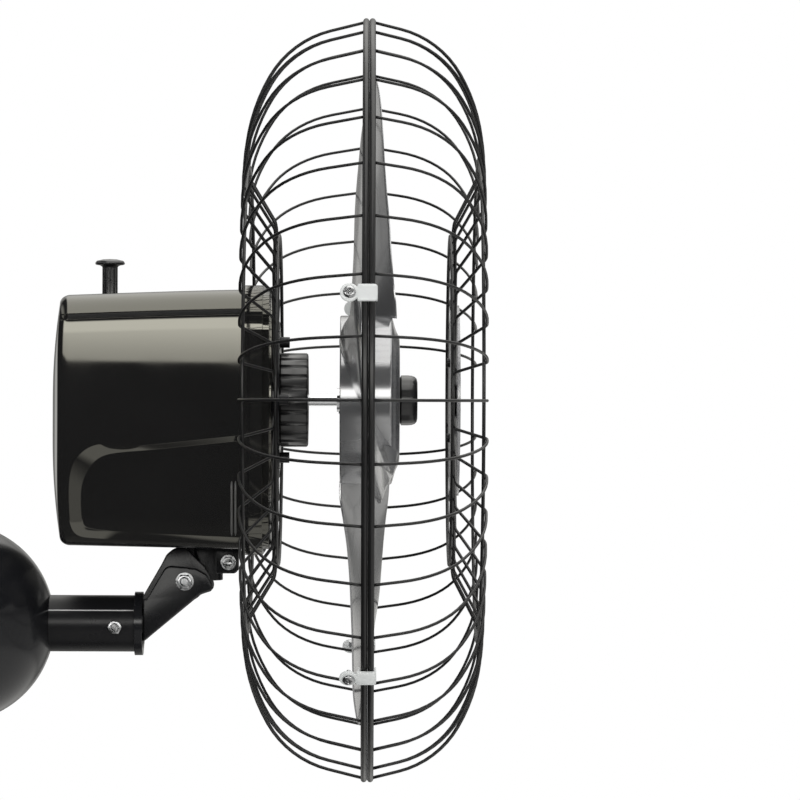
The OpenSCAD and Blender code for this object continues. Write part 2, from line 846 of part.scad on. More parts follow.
module worm_body() {
  rows = worm_turns * worm_steps;
  ring_pts = [
    for (i = [0 : rows], j = [0 : worm_sides - 1])
      let (
        h = i * tooth_pitch / worm_steps,
        a = turn * j / worm_sides,
        f = h / tooth_pitch + j / worm_sides,
        r = i == 0 || i == rows ? worm_root : worm_root + (worm_crest - worm_root) * worm_wave(f)
      )
      [r * cos(a), r * sin(a), h]
  ];
  side = [
    for (i = [0 : rows - 1], j = [0 : worm_sides - 1])
      let (
        k = (j + 1) % worm_sides,
        a = i * worm_sides + j,
        b = i * worm_sides + k,
        c = a + worm_sides,
        d = b + worm_sides
      )
      for (f = [[a, c, d], [a, d, b]])
        f
  ];
  low = [[for (j = [0 : worm_sides - 1]) j]];
  high = [[for (j = [worm_sides - 1 : -1 : 0]) rows * worm_sides + j]];
  polyhedron(points = ring_pts, faces = concat(side, low, high), convexity = 6);
}

// Wall bracket

module wall_plate() {
  color("dimgray")
  arm_frame()
    difference() {
      union() {
        cylinder(r = plate_r, h = plate_t - plate_edge);
        out_by(plate_t - plate_edge)
          cylinder(r1 = plate_r, r2 = plate_r - plate_edge, h = plate_edge);
        cylinder(r = socket_r, h = socket_reach);
      }
      out_by(plate_t)
        cylinder(r = socket_bore, h = socket_reach);
      for (a = [plate_hole_angle, -plate_hole_angle], flip = [0, half_turn])
        rotate([0, 0, a + flip])
          translate([plate_hole_circle, 0, -over])
            cylinder(r = plate_hole_r, h = plate_t + 2 * over);
    }
}

module canopy() {
  color("#222226")
  arm_frame()
    difference() {
      out_by(dome_out)
        sphere(r = dome_r);
      out_by(dome_out)
        sphere(r = dome_inner);
      cylinder(r = dome_mouth, h = 2 * dome_r);
      translate([-dome_r - over, -dome_r - over, -2 * dome_r])
        cube([2 * dome_r + 2 * over, 2 * dome_r + 2 * over, 2 * dome_r]);
      out_by(dome_out)
        rotate([-dome_hole_angle, 0, 0])
          cylinder(r = dome_hole_r, h = 2 * dome_r);
      translate([-mouth_slot_w / 2, -mouth_slot_l, 0])
        cube([mouth_slot_w, mouth_slot_l, 2 * dome_r]);
    }
}

module arm_tube() {
  color("#26262a")
  arm_frame()
    difference() {
      out_by(arm_start)
        sleeve(arm_r, arm_bore, arm_end - arm_start);
      translate([0, -arm_bolt_drop, arm_bolt_out])
        cross_rod(arm_bolt_r + fit, 2 * arm_r + 2 * over);
    }
}

module arm_collar() {
  color("#2a2a2e")
  arm_frame()
    out_by(spigot_end)
      sleeve(collar_r, spigot_r + seat, collar_end - spigot_end);
}

module yoke() {
  color("#232327")
  arm_frame()
    difference() {
      union() {
        out_by(spigot_start)
          sleeve(spigot_r, spigot_r - arm_t, arm_end - spigot_start);
        out_by(arm_end)
          cylinder(r = spigot_r, h = collar_end - arm_end + seat);
        out_by(collar_end + seat)
          intersection() {
            cylinder(r = yoke_base_r, h = yoke_base_end - collar_end);
            translate([-yoke_half, -yoke_base_r, 0])
              cube([2 * yoke_half, 2 * yoke_base_r, yoke_base_end]);
          }
        rotate([0, -quarter, 0])
          out_by(-yoke_half)
            linear_extrude(height = 2 * yoke_half)
              polygon([
                for (p = yoke_shares)
                  [collar_end + tilt_reach * p[0], tilt_rise * p[1]]
              ]);
      }
      translate([-slot_half, -2 * yoke_base_r, yoke_base_end])
        cube([2 * slot_half, 6 * yoke_base_r, 3 * yoke_base_r]);
      translate([-slot_half, yoke_base_r, arm_end])
        cube([2 * slot_half, 3 * yoke_base_r, 3 * yoke_base_r]);
      translate([0, -arm_bolt_drop, arm_bolt_out])
        cross_rod(arm_bolt_r + fit, 2 * arm_r);
      translate([0, tilt_rise, tilt_out])
        cross_rod(pivot_bore, 4 * yoke_half);
      translate([0, tilt_rise, tilt_out])
        cross_rod(tongue_r + 2 * slip, 2 * slot_half);
    }
}

module arm_bolt() {
  color("silver")
  arm_frame()
    translate([0, -arm_bolt_drop, arm_bolt_out]) {
      cross_rod(arm_bolt_r, 2 * (arm_r + arm_hex_t));
      for (sx = [-1, 1])
        rotate([0, sx * quarter, 0])
          out_by(arm_r + fit)
            hex_rod(arm_hex_r, arm_hex_t);
    }
}

module pivot_bolt() {
  color("silver")
  arm_frame()
    translate([0, tilt_rise, tilt_out]) {
      cross_rod(pivot_r, 2 * (pivot_span + pivot_hex_t));
      for (sx = [-1, 1])
        rotate([0, sx * quarter, 0]) {
          out_by(yoke_half + fit)
            cylinder(r = pivot_washer_r, h = pivot_washer_t - fit);
          out_by(pivot_span)
            hex_rod(pivot_hex_r, pivot_hex_t);
        }
    }
}

// Tilting knuckle

module knuckle() {
  color("#2b2b2f")
  arm_frame()
    difference() {
      union() {
        translate([0, tilt_rise, tilt_out])
          cross_rod(tongue_r, 2 * tongue_half);
        translate([-tongue_half, knuckle_floor, swing_out - tongue_half])
          cube([2 * tongue_half, knuckle_top - knuckle_floor, tongue_half]);
        translate([0, knuckle_top, swing_out])
          rotate([quarter, 0, 0])
            cylinder(r = tongue_half, h = knuckle_top - knuckle_floor);
        translate([-lug_half, lug_bottom, swing_out])
          cube([2 * lug_half, knuckle_top - lug_bottom, lug_end - swing_out]);
      }
      translate([0, knuckle_top + over, swing_out])
        rotate([quarter, 0, 0])
          cylinder(r = post_bore, h = knuckle_top + over - lug_bottom);
      translate([0, tilt_rise, tilt_out])
        cross_rod(pivot_bore, 4 * yoke_half);
      translate([-lug_split / 2, lug_bottom - over, swing_out])
        cube([lug_split, knuckle_top, lug_end]);
      translate([0, lug_bolt_rise, lug_bolt_out])
        cross_rod(lug_bolt_r + fit, 4 * lug_half);
    }
}

module lug_bolt() {
  color("silver")
  arm_frame()
    translate([0, lug_bolt_rise, lug_bolt_out]) {
      cross_rod(lug_bolt_r, 2 * (lug_span + lug_hex_t));
      for (sx = [-1, 1])
        rotate([0, sx * quarter, 0])
          out_by(lug_span)
            hex_rod(lug_hex_r, lug_hex_t);
    }
}

module lever_plate() {
  color("gray")
  translate([0, -swing_out, lever_z])
    difference() {
      union() {
        cylinder(r = lever_r, h = lever_t);
        translate([lever_throw, 0, 0])
          cylinder(r = 2 * lever_pin_r, h = lever_t);
        translate([0, -2 * lever_pin_r, 0])
          cube([lever_throw, 4 * lever_pin_r, lever_t]);
        translate([lever_throw, 0, 0])
          cylinder(r = lever_pin_r, h = lever_pin_top - lever_z);
      }
      out_by(-over)
        cylinder(r = post_r + slip, h = lever_t + 2 * over);
    }
}

// Head: post, housing and cover

module swing_post() {
  color("gray")
  translate([0, -swing_out, 0]) {
    out_by(post_bottom)
      cylinder(r = post_r, h = post_flange_z - post_bottom);
    out_by(post_flange_z)
      cylinder(r = post_flange_r, h = post_flange_t);
  }
}

// Distance from the wall to the crowned back, at a share of the half size from its middle
function crown_at(u) = house_back + house_shoulder * u * u;

// Corner point k of the rounded edge between the crowned back and a side
function edge_point(k, inset, mid) =
  let (a = k * quarter / round_steps)
  [crown_at(1) + inset + edge_round * (1 - cos(a)), mid - draft + edge_round * sin(a)];

// Outline of the housing or its hollow, seen from the side or from above: inset moves every face inwards
function side_points(half, inset) =
  let (
    top = half - inset,
    mid = top - edge_round,
    edge = [for (k = [1 : round_steps - 1]) edge_point(k, inset, mid)],
    start = crown_at(1) + inset + edge_round
  )
  concat(
    [for (i = [0 : crown_points]) let (u = 2 * i / crown_points - 1) [crown_at(u) + inset, u * mid]],
    edge,
    [[start, top - draft], [house_front + over, top], [house_front + over, -top], [start, draft - top]],
    [for (k = [round_steps - 2 : -1 : 0]) [edge[k][0], -edge[k][1]]]
  );

// The housing's block in the arm frame, centred on its own height
module house_block(inset, front) {
  translate([0, house_rise, 0])
    intersection() {
      out_by(house_back + inset)
        linear_extrude(height = front - house_back - inset)
          round_rect(house_half - inset, house_half_z - inset, house_corner - inset);
      rotate([0, -quarter, 0])
        out_by(-house_half - over)
          linear_extrude(height = 2 * house_half + 2 * over)
            polygon(side_points(house_half_z, inset));
      rotate([0, -quarter, 0])
        rotate([quarter, 0, 0])
          out_by(-house_half_z - over)
            linear_extrude(height = 2 * house_half_z + 2 * over)
              polygon(side_points(house_half, inset));
    }
}

// Upright cutter in the arm frame, open below and ending at a height
module down_from(h, out) {
  translate([0, h, out])
    rotate([quarter, 0, 0])
      children();
}

module rear_housing() {
  color("#1c1c20")
  arm_frame() {
    difference() {
      union() {
        difference() {
          house_block(0, house_front);
          house_block(house_t, house_front + over);
        }
        down_from(floor_boss_top, swing_out)
          cylinder(r = floor_boss_r, h = floor_boss_top - recess_top);
      }
      down_from(recess_top, swing_out)
        cylinder(r = recess_r, h = recess_top);
      down_from(floor_boss_top + over, swing_out) {
        cylinder(r = post_r + slip, h = floor_boss_top);
        rotate([0, 0, -slot_reach_angle])
          rotate_extrude(angle = 2 * slot_reach_angle)
            translate([slot_inner, 0])
              square([slot_outer - slot_inner, floor_boss_top - recess_top + 2 * over]);
      }
      translate([knob_side, 0, knob_out])
        rotate([-quarter, 0, 0])
          linear_extrude(height = 2 * axis_rise)
            round_rect(knob_hole_w / 2, knob_hole_l / 2, knob_hole_w / 2 - fit);
      for (sx = [-1, 1])
        mirror([sx > 0 ? 1 : 0, 0, 0]) {
          translate([0, axis_rise, 0])
            rotate([0, -quarter, 0])
              out_by(house_half - pocket_depth - draft / 2)
                linear_extrude(height = pocket_depth + draft / 2 + over)
                  polygon([
                    for (p = pocket_shares)
                      [house_back + house_depth * p[0], house_half_z * p[1]]
                  ]);
          translate([-house_half - over, groove_rise - groove_w / 2, house_back])
            cube([draft + groove_depth / 2 + over, groove_w, 2 * house_front]);
        }
    }
    for (sx = [-1, 1], k = [0, 1])
      translate([sx * (house_half - slip) - rib_h / 2 - sx * rib_h / 2, rib_z - rib_half, rib_out + k * rib_gap])
        cube([rib_h, 2 * rib_half, rib_w]);
  }
}

module front_cover() {
  color("#1e1e22")
  arm_frame()
    difference() {
      union() {
        translate([0, cover_rise, cover_back])
          linear_extrude(height = cover_step - cover_back)
            round_rect(cover_half, cover_half_z, cover_corner);
        translate([0, cover_rise, cover_step - over])
          linear_extrude(height = cover_front - cover_step + over)
            round_rect(cover_half - cover_step_w, cover_half_z - cover_step_w, cover_corner - cover_step_w);
        translate([0, axis_rise, cover_seat])
          cylinder(r = boss_r, h = boss_front - cover_seat);
      }
      difference() {
        union() {
          cover_cut(cover_t, cover_back - over, cover_step - cover_t);
          cover_cut(cover_step_w + cover_t, cover_step - cover_t - over, cover_seat);
        }
        translate([0, axis_rise, cover_back - over])
          sleeve(hub_plate_r, pedestal_r + slip, cover_front);
      }
      translate([0, axis_rise, 0]) {
        cylinder(r = cover_bore, h = 2 * house_front);
        for (k = [0 : 3])
          rotate([0, 0, quarter * k])
            translate([guard_screw_circle, 0, guard_shank_end - slip])
              cylinder(r = guard_shank_r + fit, h = house_front);
      }
    }
}

module cover_cut(inset, from, to) {
  translate([0, cover_rise, from])
    linear_extrude(height = to - from)
      round_rect(cover_half - inset, cover_half_z - inset, cover_corner - inset);
}

// Head: guards and their seat

module guard_plate() {
  color("#2a2a2e")
  head_frame()
    difference() {
      out_by(plate_back)
        sleeve(hub_plate_r, nose_r + slip, hub_plate_t);
      for (k = [0 : 3])
        rotate([0, 0, quarter * k])
          translate([guard_screw_circle, 0, plate_back - over])
            cylinder(r = guard_shank_r + seat, h = hub_plate_t + 2 * over);
    }
}

module guard_screws() {
  color("silver")
  head_frame()
    for (k = [0 : 3])
      rotate([0, 0, quarter * k])
        translate([guard_screw_circle, 0, 0]) {
          out_by(guard_screw_start)
            cylinder(r = guard_screw_r, h = guard_screw_h);
          out_by(guard_shank_end)
            cylinder(r = guard_shank_r, h = guard_screw_start - guard_shank_end);
        }
}

module guard_nut() {
  color("#151517")
  head_frame()
    difference() {
      out_by(nut_back)
        cylinder(r = nut_r, h = nut_front - nut_back);
      out_by(nut_back - over)
        cylinder(r = nut_bore, h = nut_front - nut_face_t - nut_back + over);
      out_by(nut_back)
        cylinder(r = nut_hole, h = nut_front);
      for (k = [0 : nut_ribs - 1])
        rotate([0, 0, turn * k / nut_ribs])
          translate([nut_r, 0, nut_back - over])
            cylinder(r = nut_rib_depth, h = nut_front - nut_back - nut_face_t / 2);
    }
}

module rear_guard_wires() {
  color("#2c2c30")
  head_frame()
    out_by(rim_out)
      mirror([0, 0, 1])
        for (k = [0 : wire_count - 1])
          rotate([0, 0, turn * k / wire_count])
            upright()
              guard_wire(wire_points(rear_steps, rear_path, rear_flat));
}

module rear_guard_rings() {
  color("#2c2c30")
  head_frame()
    out_by(rim_out)
      mirror([0, 0, 1]) {
        hoop(rim_r, rim_off, rim_wire_r);
        hoop(rear_crest_r, rear_top - ring_drop, ring_r);
        hoop(rear_ring_r, rear_level - ring_drop, ring_r);
      }
}

module front_guard_wires() {
  color("#2c2c30")
  head_frame()
    out_by(rim_out)
      for (k = [0 : wire_count - 1])
        rotate([0, 0, turn * k / wire_count])
          upright()
            guard_wire(wire_points(front_steps, front_path, front_flat));
}

module front_guard_rings() {
  color("#2c2c30")
  head_frame()
    out_by(rim_out) {
      hoop(rim_r, rim_off, rim_wire_r);
      hoop(front_crest_r, front_top - ring_drop, ring_r);
      hoop(front_ring_r, front_level - ring_drop, ring_r);
      hoop(badge_ring_r, front_level, ring_r);
    }
}

module badge() {
  color("#c9c9cb")
  head_frame()
    out_by(rim_out + badge_back)
      difference() {
        union() {
          rotate_extrude()
            polygon(concat(
              [[0, 0], [badge_r - badge_edge, 0], [badge_r, badge_edge]],
              [for (k = [badge_steps : -1 : 0]) let (u = k / badge_steps) [badge_r * u, badge_t - badge_bulge * u * u]]
            ));
          for (sy = [-1, 1])
            translate([0, sy * badge_screw_rise, badge_plate_top - badge_back + seat])
              cylinder(r = badge_boss_r, h = badge_back - badge_plate_top);
        }
        for (sy = [-1, 1])
          translate([0, sy * badge_screw_rise, -badge_back])
            cylinder(r = badge_screw_r + fit, h = badge_back + badge_t / 2);
      }
}

module badge_plate() {
  color("#8a8a8c")
  head_frame()
    out_by(rim_out + badge_plate_top - badge_plate_t)
      difference() {
        cylinder(r = badge_plate_r, h = badge_plate_t);
        for (sy = [-1, 1])
          translate([0, sy * badge_screw_rise, -over])
            cylinder(r = badge_screw_r + seat, h = badge_plate_t + 2 * over);
      }
}

module badge_screws() {
  color("silver")
  head_frame()
    out_by(rim_out + badge_plate_top - badge_plate_t - fit)
      for (sy = [-1, 1])
        translate([0, sy * badge_screw_rise, 0]) {
          cylinder(r = badge_screw_r, h = badge_plate_t + badge_t);
          out_by(-badge_head_t)
            cylinder(r = badge_head_r, h = badge_head_t);
        }
}

module at_clips() {
  head_frame()
    out_by(rim_out)
      for (a = clip_angles)
        rotate([0, 0, a])
          children();
}

module guard_clips() {
  color("#c8c8ca")
  at_clips()
    difference() {
      union() {
        translate([clip_outer, -clip_w / 2, -clip_screw_back])
          cube([clip_t, clip_w, clip_screw_back + clip_front]);
        translate([clip_outer, 0, clip_ear_r - clip_back])
          rotate([0, quarter, 0])
            cylinder(r = clip_ear_r, h = clip_t);
        translate([clip_outer - clip_lip, -clip_w / 2, clip_half_gap])
          cube([clip_lip + fit, clip_w, clip_front - clip_half_gap]);
        translate([clip_outer - clip_lip, -clip_w / 2, -clip_rear_lip])
          cube([clip_lip + fit, clip_w, clip_t]);
      }
      translate([clip_outer - over, 0, -clip_screw_back])
        rotate([0, quarter, 0])
          cylinder(r = clip_shank_r + fit, h = clip_t + 2 * over);
    }
}

module clip_screws() {
  color("silver")
  at_clips()
    translate([clip_outer + clip_t + fit, 0, -clip_screw_back])
      rotate([0, quarter, 0]) {
        cylinder(r = clip_screw_r, h = clip_screw_head_t);
        out_by(-clip_shank_l)
          cylinder(r = clip_shank_r, h = clip_shank_l);
      }
}

// Motor

module motor_rear_bell() {
  color("#8d9094")
  head_frame()
    difference() {
      union() {
        out_by(bell_back)
          cylinder(r = bell_r, h = bell_joint - fit - bell_back);
        out_by(rear_boss_out)
          cylinder(r = rear_boss_r, h = bell_back - rear_boss_out + bell_t);
      }
      out_by(bell_back + bell_t)
        difference() {
          cylinder(r = bell_inner, h = bell_joint);
          cylinder(r = rear_boss_r, h = rear_bearing_out + bearing_l - bell_back - bell_t);
        }
      out_by(rear_bearing_out)
        cylinder(r = bearing_r + fit, h = bell_joint);
      out_by(rear_boss_out - over)
        cylinder(r = bore_small, h = bell_joint);
      for (k = [0 : 3])
        rotate([0, 0, eighth + quarter * k]) {
          translate([tie_circle, 0, bell_back - over])
            cylinder(r = tie_r + seat, h = bell_joint);
          rotate([0, 0, eighth])
            translate([vent_circle, 0, bell_back - over])
              cylinder(r = vent_r, h = bell_t + 2 * over);
        }
    }
}

module motor_front_bell() {
  color("#8d9094")
  head_frame()
    difference() {
      union() {
        out_by(bell_joint + fit)
          cylinder(r = bell_r, h = bell_front - bell_joint - fit);
        out_by(bell_front - fit)
          cylinder(r = pedestal_r, h = cover_seat - bell_front);
        out_by(bell_front)
          cylinder(r = nose_r, h = nose_end - bell_front);
      }
      out_by(bell_joint - over)
        cylinder(r = bell_inner, h = bell_front - bell_t - bell_joint + over);
      out_by(bell_joint)
        cylinder(r = bore_small, h = nose_end);
      out_by(front_bearing_out)
        cylinder(r = bearing_r + fit, h = nose_end);
      for (k = [0 : 3])
        rotate([0, 0, eighth + quarter * k]) {
          translate([tie_circle, 0, bell_joint - over])
            cylinder(r = tie_r + seat, h = bell_front);
          rotate([0, 0, eighth])
            translate([vent_circle + vent_r, 0, bell_front - bell_t - over])
              cylinder(r = vent_r, h = bell_t + 2 * over);
        }
    }
}

module stator_core() {
  color("#6f7276")
  head_frame()
    difference() {
      out_by(stator_start)
        sleeve(stator_r, stator_bore, stator_end - stator_start);
      for (k = [0 : 3])
        rotate([0, 0, eighth + quarter * k])
          translate([tie_circle, 0, stator_start - over])
            cylinder(r = tie_r + seat, h = stator_end);
    }
}

module stator_windings() {
  color("#b5652b")
  head_frame()
    for (at = [stator_start - coil_l - fit, stator_end + fit])
      out_by(at)
        rotate_extrude()
          translate([(coil_outer + coil_inner) / 2, coil_l / 2])
            round_rect((coil_outer - coil_inner) / 2, coil_l / 2, coil_round);
}

module bearings() {
  color("#b9bcc0")
  head_frame()
    for (at = [rear_bearing_out, front_bearing_out])
      out_by(at + fit)
        sleeve(bearing_r, shaft_r + axle_fit, bearing_l - fit);
}

module tie_bolts() {
  color("silver")
  head_frame()
    for (k = [0 : 3])
      rotate([0, 0, eighth + quarter * k])
        translate([tie_circle, 0, 0]) {
          out_by(bell_back - fit - tie_head_t)
            cylinder(r = tie_head_r, h = tie_head_t);
          out_by(bell_back - tie_head_t)
            cylinder(r = tie_r, h = bell_front + fit + tie_head_t - bell_back);
          out_by(bell_front + fit)
            hex_rod(tie_head_r, tie_head_t);
        }
}

module run_capacitor() {
  color("#d8d8da")
  arm_frame()
    translate([-cap_side, floor_in + cap_r, cap_out])
      cylinder(r = cap_r, h = cap_l);
}

module terminal_block() {
  color("#e4e2da")
  arm_frame()
    translate([block_side - block_w / 2, floor_in, block_out])
      difference() {
        cube([block_w, block_h, block_l]);
        for (k = [0 : 3])
          translate([block_w / 2, block_h / 2, block_l * (k + 0.5) / 4])
            rotate([-quarter, 0, 0])
              cylinder(r = block_w / 8, h = block_h);
      }
}

// Gear case and gears

module gearbox_case() {
  color("#a7a9ad")
  difference() {
    union() {
      translate([case_x0, -case_y1, case_z0])
        cube([case_x1 - case_x0, case_y1 - case_y0, case_z1 - case_z0]);
      translate([crank_side, -crank_out, case_z0])
        cylinder(r = tray_r, h = tray_top - case_z0);
    }
    translate([case_x0 + case_t, case_t - case_y1, case_z0 + case_t])
      cube([case_x1 - case_x0 - 2 * case_t, case_y1 - case_y0 - 2 * case_t, case_z1]);
    translate([crank_side, -crank_out, case_z0 + case_t])
      cylinder(r = tray_bore, h = tray_top - case_z0 - 2 * case_t);
    translate([crank_side, -crank_out, case_z0 - over])
      cylinder(r = case_hole_r, h = case_t + 2 * over);
    translate([0, 0, axis_rise])
      rotate([quarter, 0, 0])
        out_by(case_y1 - case_t - over)
          cylinder(r = bore_small, h = case_t + 2 * over);
  }
}

module gearbox_lid() {
  color("#a7a9ad")
  translate([0, 0, case_z1 + fit])
    difference() {
      translate([case_x0, -case_y1, 0])
        cube([case_x1 - case_x0, case_y1 - case_y0, lid_t]);
      translate([knob_side, -knob_out, -over])
        cylinder(r = spindle_r + seat, h = lid_t + 2 * over);
    }
}

module worm() {
  color("#c8b273")
  head_frame()
    out_by(worm_start)
      difference() {
        worm_body();
        out_by(-over)
          cylinder(r = journal_r + fit, h = worm_l + 2 * over);
      }
}

module shaft() {
  color("#b9bcc0")
  head_frame()
    union() {
      out_by(shaft_start)
        cylinder(r = journal_r, h = worm_start + worm_l + slip - shaft_start);
      out_by(worm_start + worm_l + fit)
        cylinder(r = shaft_r, h = shaft_end - worm_start - worm_l - fit);
    }
}

module worm_wheel() {
  color("#e8e2cf")
  translate([knob_side, -knob_out, 0])
    union() {
      out_by(wheel_z)
        linear_extrude(height = wheel_t)
          rotate([0, 0, half_turn / wheel_teeth])
            polygon(gear_points(wheel_teeth, wheel_thin_share));
      out_by(gear_z)
        linear_extrude(height = gear_t)
          polygon(gear_points(pinion_teeth, gear_thin_share));
      out_by(spindle_bottom)
        cylinder(r = thin_pin_r, h = spindle_top - spindle_bottom);
    }
}

module crank_gear() {
  color("#e8e2cf")
  translate([crank_side, -crank_out, 0])
    difference() {
      union() {
        out_by(gear_z)
          linear_extrude(height = gear_t)
            rotate([0, 0, crank_phase])
              polygon(gear_points(crank_teeth, gear_thin_share));
        out_by(crank_axle_z)
          cylinder(r = crank_boss_r + crank_throw / 2, h = gear_z - crank_axle_z);
        rotate([0, 0, link_turn])
          translate([crank_throw, 0, crank_pin_bottom])
            cylinder(r = crank_pin_r, h = gear_z - crank_pin_bottom);
      }
      out_by(gear_z + gear_t / 2)
        cylinder(r = tray_shaft_r, h = gear_t);
    }
}

module link() {
  color("#9da0a4")
  translate([pin_side, -pin_out, link_z])
    rotate([0, 0, link_angle])
      difference() {
        union() {
          cylinder(r = link_half, h = link_t);
          translate([link_l, 0, 0])
            cylinder(r = link_half, h = link_t);
          translate([0, -link_half, 0])
            cube([link_l, 2 * link_half, link_t]);
        }
        out_by(-over)
          cylinder(r = link_bore, h = link_t + 2 * over);
        translate([link_l, 0, -over])
          cylinder(r = link_bore, h = link_t + 2 * over);
      }
}

module switch_knob() {
  color("#17171a")
  translate([knob_side, -knob_out, 0])
    difference() {
      union() {
        out_by(stem_bottom)
          cylinder(r = stem_r, h = knob_top - stem_bottom - knob_cap_t / 2);
        out_by(knob_top - knob_cap_t)
          cylinder(r = knob_r, h = knob_cap_t / 2);
        out_by(knob_top - knob_cap_t / 2)
          cylinder(r1 = knob_r, r2 = knob_r - knob_cap_t / 2, h = knob_cap_t / 2);
      }
      out_by(stem_bottom - over)
        cylinder(r = stem_bore, h = stem_bore_top - stem_bottom + over);
      for (k = [0 : knob_flutes - 1])
        rotate([0, 0, turn * k / knob_flutes])
          translate([stem_r + flute_out, 0, stem_bottom - over])
            cylinder(r = flute_r, h = knob_top - knob_cap_t - stem_bottom + over);
    }
}

// Rotor

module rotor_core() {
  color("#85888c")
  head_frame()
    out_by(core_start)
      sleeve(core_r, shaft_bore, core_end - core_start);
}

module hub_collar() {
  color("#c4c6c9")
  head_frame()
    difference() {
      out_by(stop_out)
        sleeve(stop_r, shaft_bore, stop_l);
      translate([0, 0, stop_out + stop_l / 2])
        rotate([quarter, 0, 0])
          cylinder(r = stop_screw_r + fit, h = 2 * stop_r);
    }
}

module collar_screw() {
  color("#1a1a1c")
  head_frame()
    translate([0, -shaft_r - 2 * fit, stop_out + stop_l / 2])
      rotate([quarter, 0, 0])
        cylinder(r = stop_screw_r, h = stop_screw_l);
}

// Blade skin: rows run from root to tip, columns from the trailing edge to the leading edge
function blade_angle(i, j) = half_span_angles[i] * (2 * j / chord_steps - 1);
function blade_axial(i, j) =
  let (u = j / chord_steps)
  hub_back * (fore_shares[i] * (1 - u) - aft_shares[i] * u)
  - 4 * blade_camber * u * (1 - u) * (1 - camber_fade_share * span_shares[i]);
function blade_point(i, j, side) =
  let (
    r = blade_root_r + (tip_r - blade_root_r) * span_shares[i],
    a = blade_angle(i, j),
    u = j / chord_steps,
    t = (blade_t + blade_root_t * (1 - span_shares[i])) * (edge_share + belly_share * u * (1 - u))
  )
  [r * cos(a), r * sin(a), blade_axial(i, j) + side * t / 2];

module blade() {
  rows = len(span_shares) - 1;
  cols = chord_steps;
  w = cols + 1;
  n = (rows + 1) * w;
  pts = [
    for (s = [1, -1], i = [0 : rows], j = [0 : cols])
      blade_point(i, j, s)
  ];
  skins = [
    for (i = [0 : rows - 1], j = [0 : cols - 1])
      let (a = i * w + j, b = a + 1, c = a + w, d = c + 1)
      for (f = [[a, b, d], [a, d, c], [n + a, n + d, n + b], [n + a, n + c, n + d]])
        f
  ];
  ends = [
    for (j = [0 : cols - 1])
      for (f = [
        [j, n + j + 1, j + 1], [j, n + j, n + j + 1],
        [rows * w + j, rows * w + j + 1, n + rows * w + j + 1],
        [rows * w + j, n + rows * w + j + 1, n + rows * w + j]
      ])
        f
  ];
  edges = [
    for (i = [0 : rows - 1])
      let (a = i * w, c = a + w, b = a + cols, d = c + cols)
      for (f = [[a, c, n + c], [a, n + c, n + a], [b, n + d, d], [b, n + b, n + d]])
        f
  ];
  polyhedron(points = pts, faces = concat(skins, ends, edges), convexity = 4);
}

module fan_blades() {
  color("#a2a4a8")
  head_frame()
    out_by(rim_out)
      union() {
        difference() {
          union() {
            out_by(-hub_back)
              cylinder(r = hub_r, h = hub_back + hub_face - hub_edge);
            out_by(hub_face - hub_edge)
              cylinder(r1 = hub_r, r2 = hub_face_r + hub_edge, h = hub_edge / 2);
            out_by(hub_face - hub_edge / 2)
              cylinder(r1 = hub_face_r + hub_edge, r2 = hub_face_r, h = hub_edge / 2);
          }
          difference() {
            out_by(-hub_back - over)
              cylinder(r = hub_r - hub_t, h = hub_back + hub_face - hub_edge - hub_t + over);
            out_by(boss_back)
              cylinder(r = boss_outer, h = hub_back + hub_face);
            for (k = [0 : 5])
              rotate([0, 0, turn * k / 6])
                translate([0, -hub_t / 4, -hub_back / 2])
                  cube([hub_r, hub_t / 2, hub_back + hub_face]);
          }
          out_by(-hub_back - over)
            cylinder(r = shaft_bore, h = 2 * hub_back + hub_face);
          out_by(-hub_back - over)
            cylinder(r = stop_r + slip, h = hub_back + over + boss_back);
        }
        for (k = [0 : blade_count - 1])
          rotate([0, 0, half_turn - first_blade_angle - turn * k / blade_count])
            mirror([0, 1, 0])
              blade();
      }
}

module blade_nut() {
  color("#141416")
  head_frame()
    difference() {
      union() {
        out_by(nut_start)
          cylinder(r = blade_nut_r, h = blade_nut_l - nut_dome);
        out_by(nut_start + blade_nut_l - nut_dome)
          cylinder(r1 = blade_nut_r, r2 = blade_nut_r - nut_dome, h = nut_dome);
      }
      out_by(nut_start - over)
        cylinder(r = shaft_bore, h = nut_hollow + over);
      for (k = [0 : nut_grooves - 1])
        rotate([0, 0, turn * k / nut_grooves])
          translate([blade_nut_r, 0, nut_start - over])
            cylinder(r = nut_groove_r, h = blade_nut_l + 2 * over);
    }
}

wall_plate();
canopy();
arm_tube();
arm_collar();
yoke();
arm_bolt();
pivot_bolt();
knuckle();
lug_bolt();
lever_plate();
swing_post();
rear_housing();
front_cover();
guard_plate();
guard_screws();
guard_nut();
rear_guard_wires();
rear_guard_rings();
front_guard_wires();
front_guard_rings();
badge();
badge_plate();
badge_screws();
guard_clips();
clip_screws();
motor_rear_bell();
motor_front_bell();
stator_core();
stator_windings();
bearings();
tie_bolts();
run_capacitor();
terminal_block();
gearbox_case();
gearbox_lid();
worm();
shaft();
worm_wheel();
crank_gear();
link();
switch_knob();
rotor_core();
hub_collar();
collar_screw();
fan_blades();
blade_nut();
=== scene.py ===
import json
from math import copysign, cos, pi, radians, sin, sqrt, tan

import bmesh
import bpy
from mathutils import Matrix, Vector


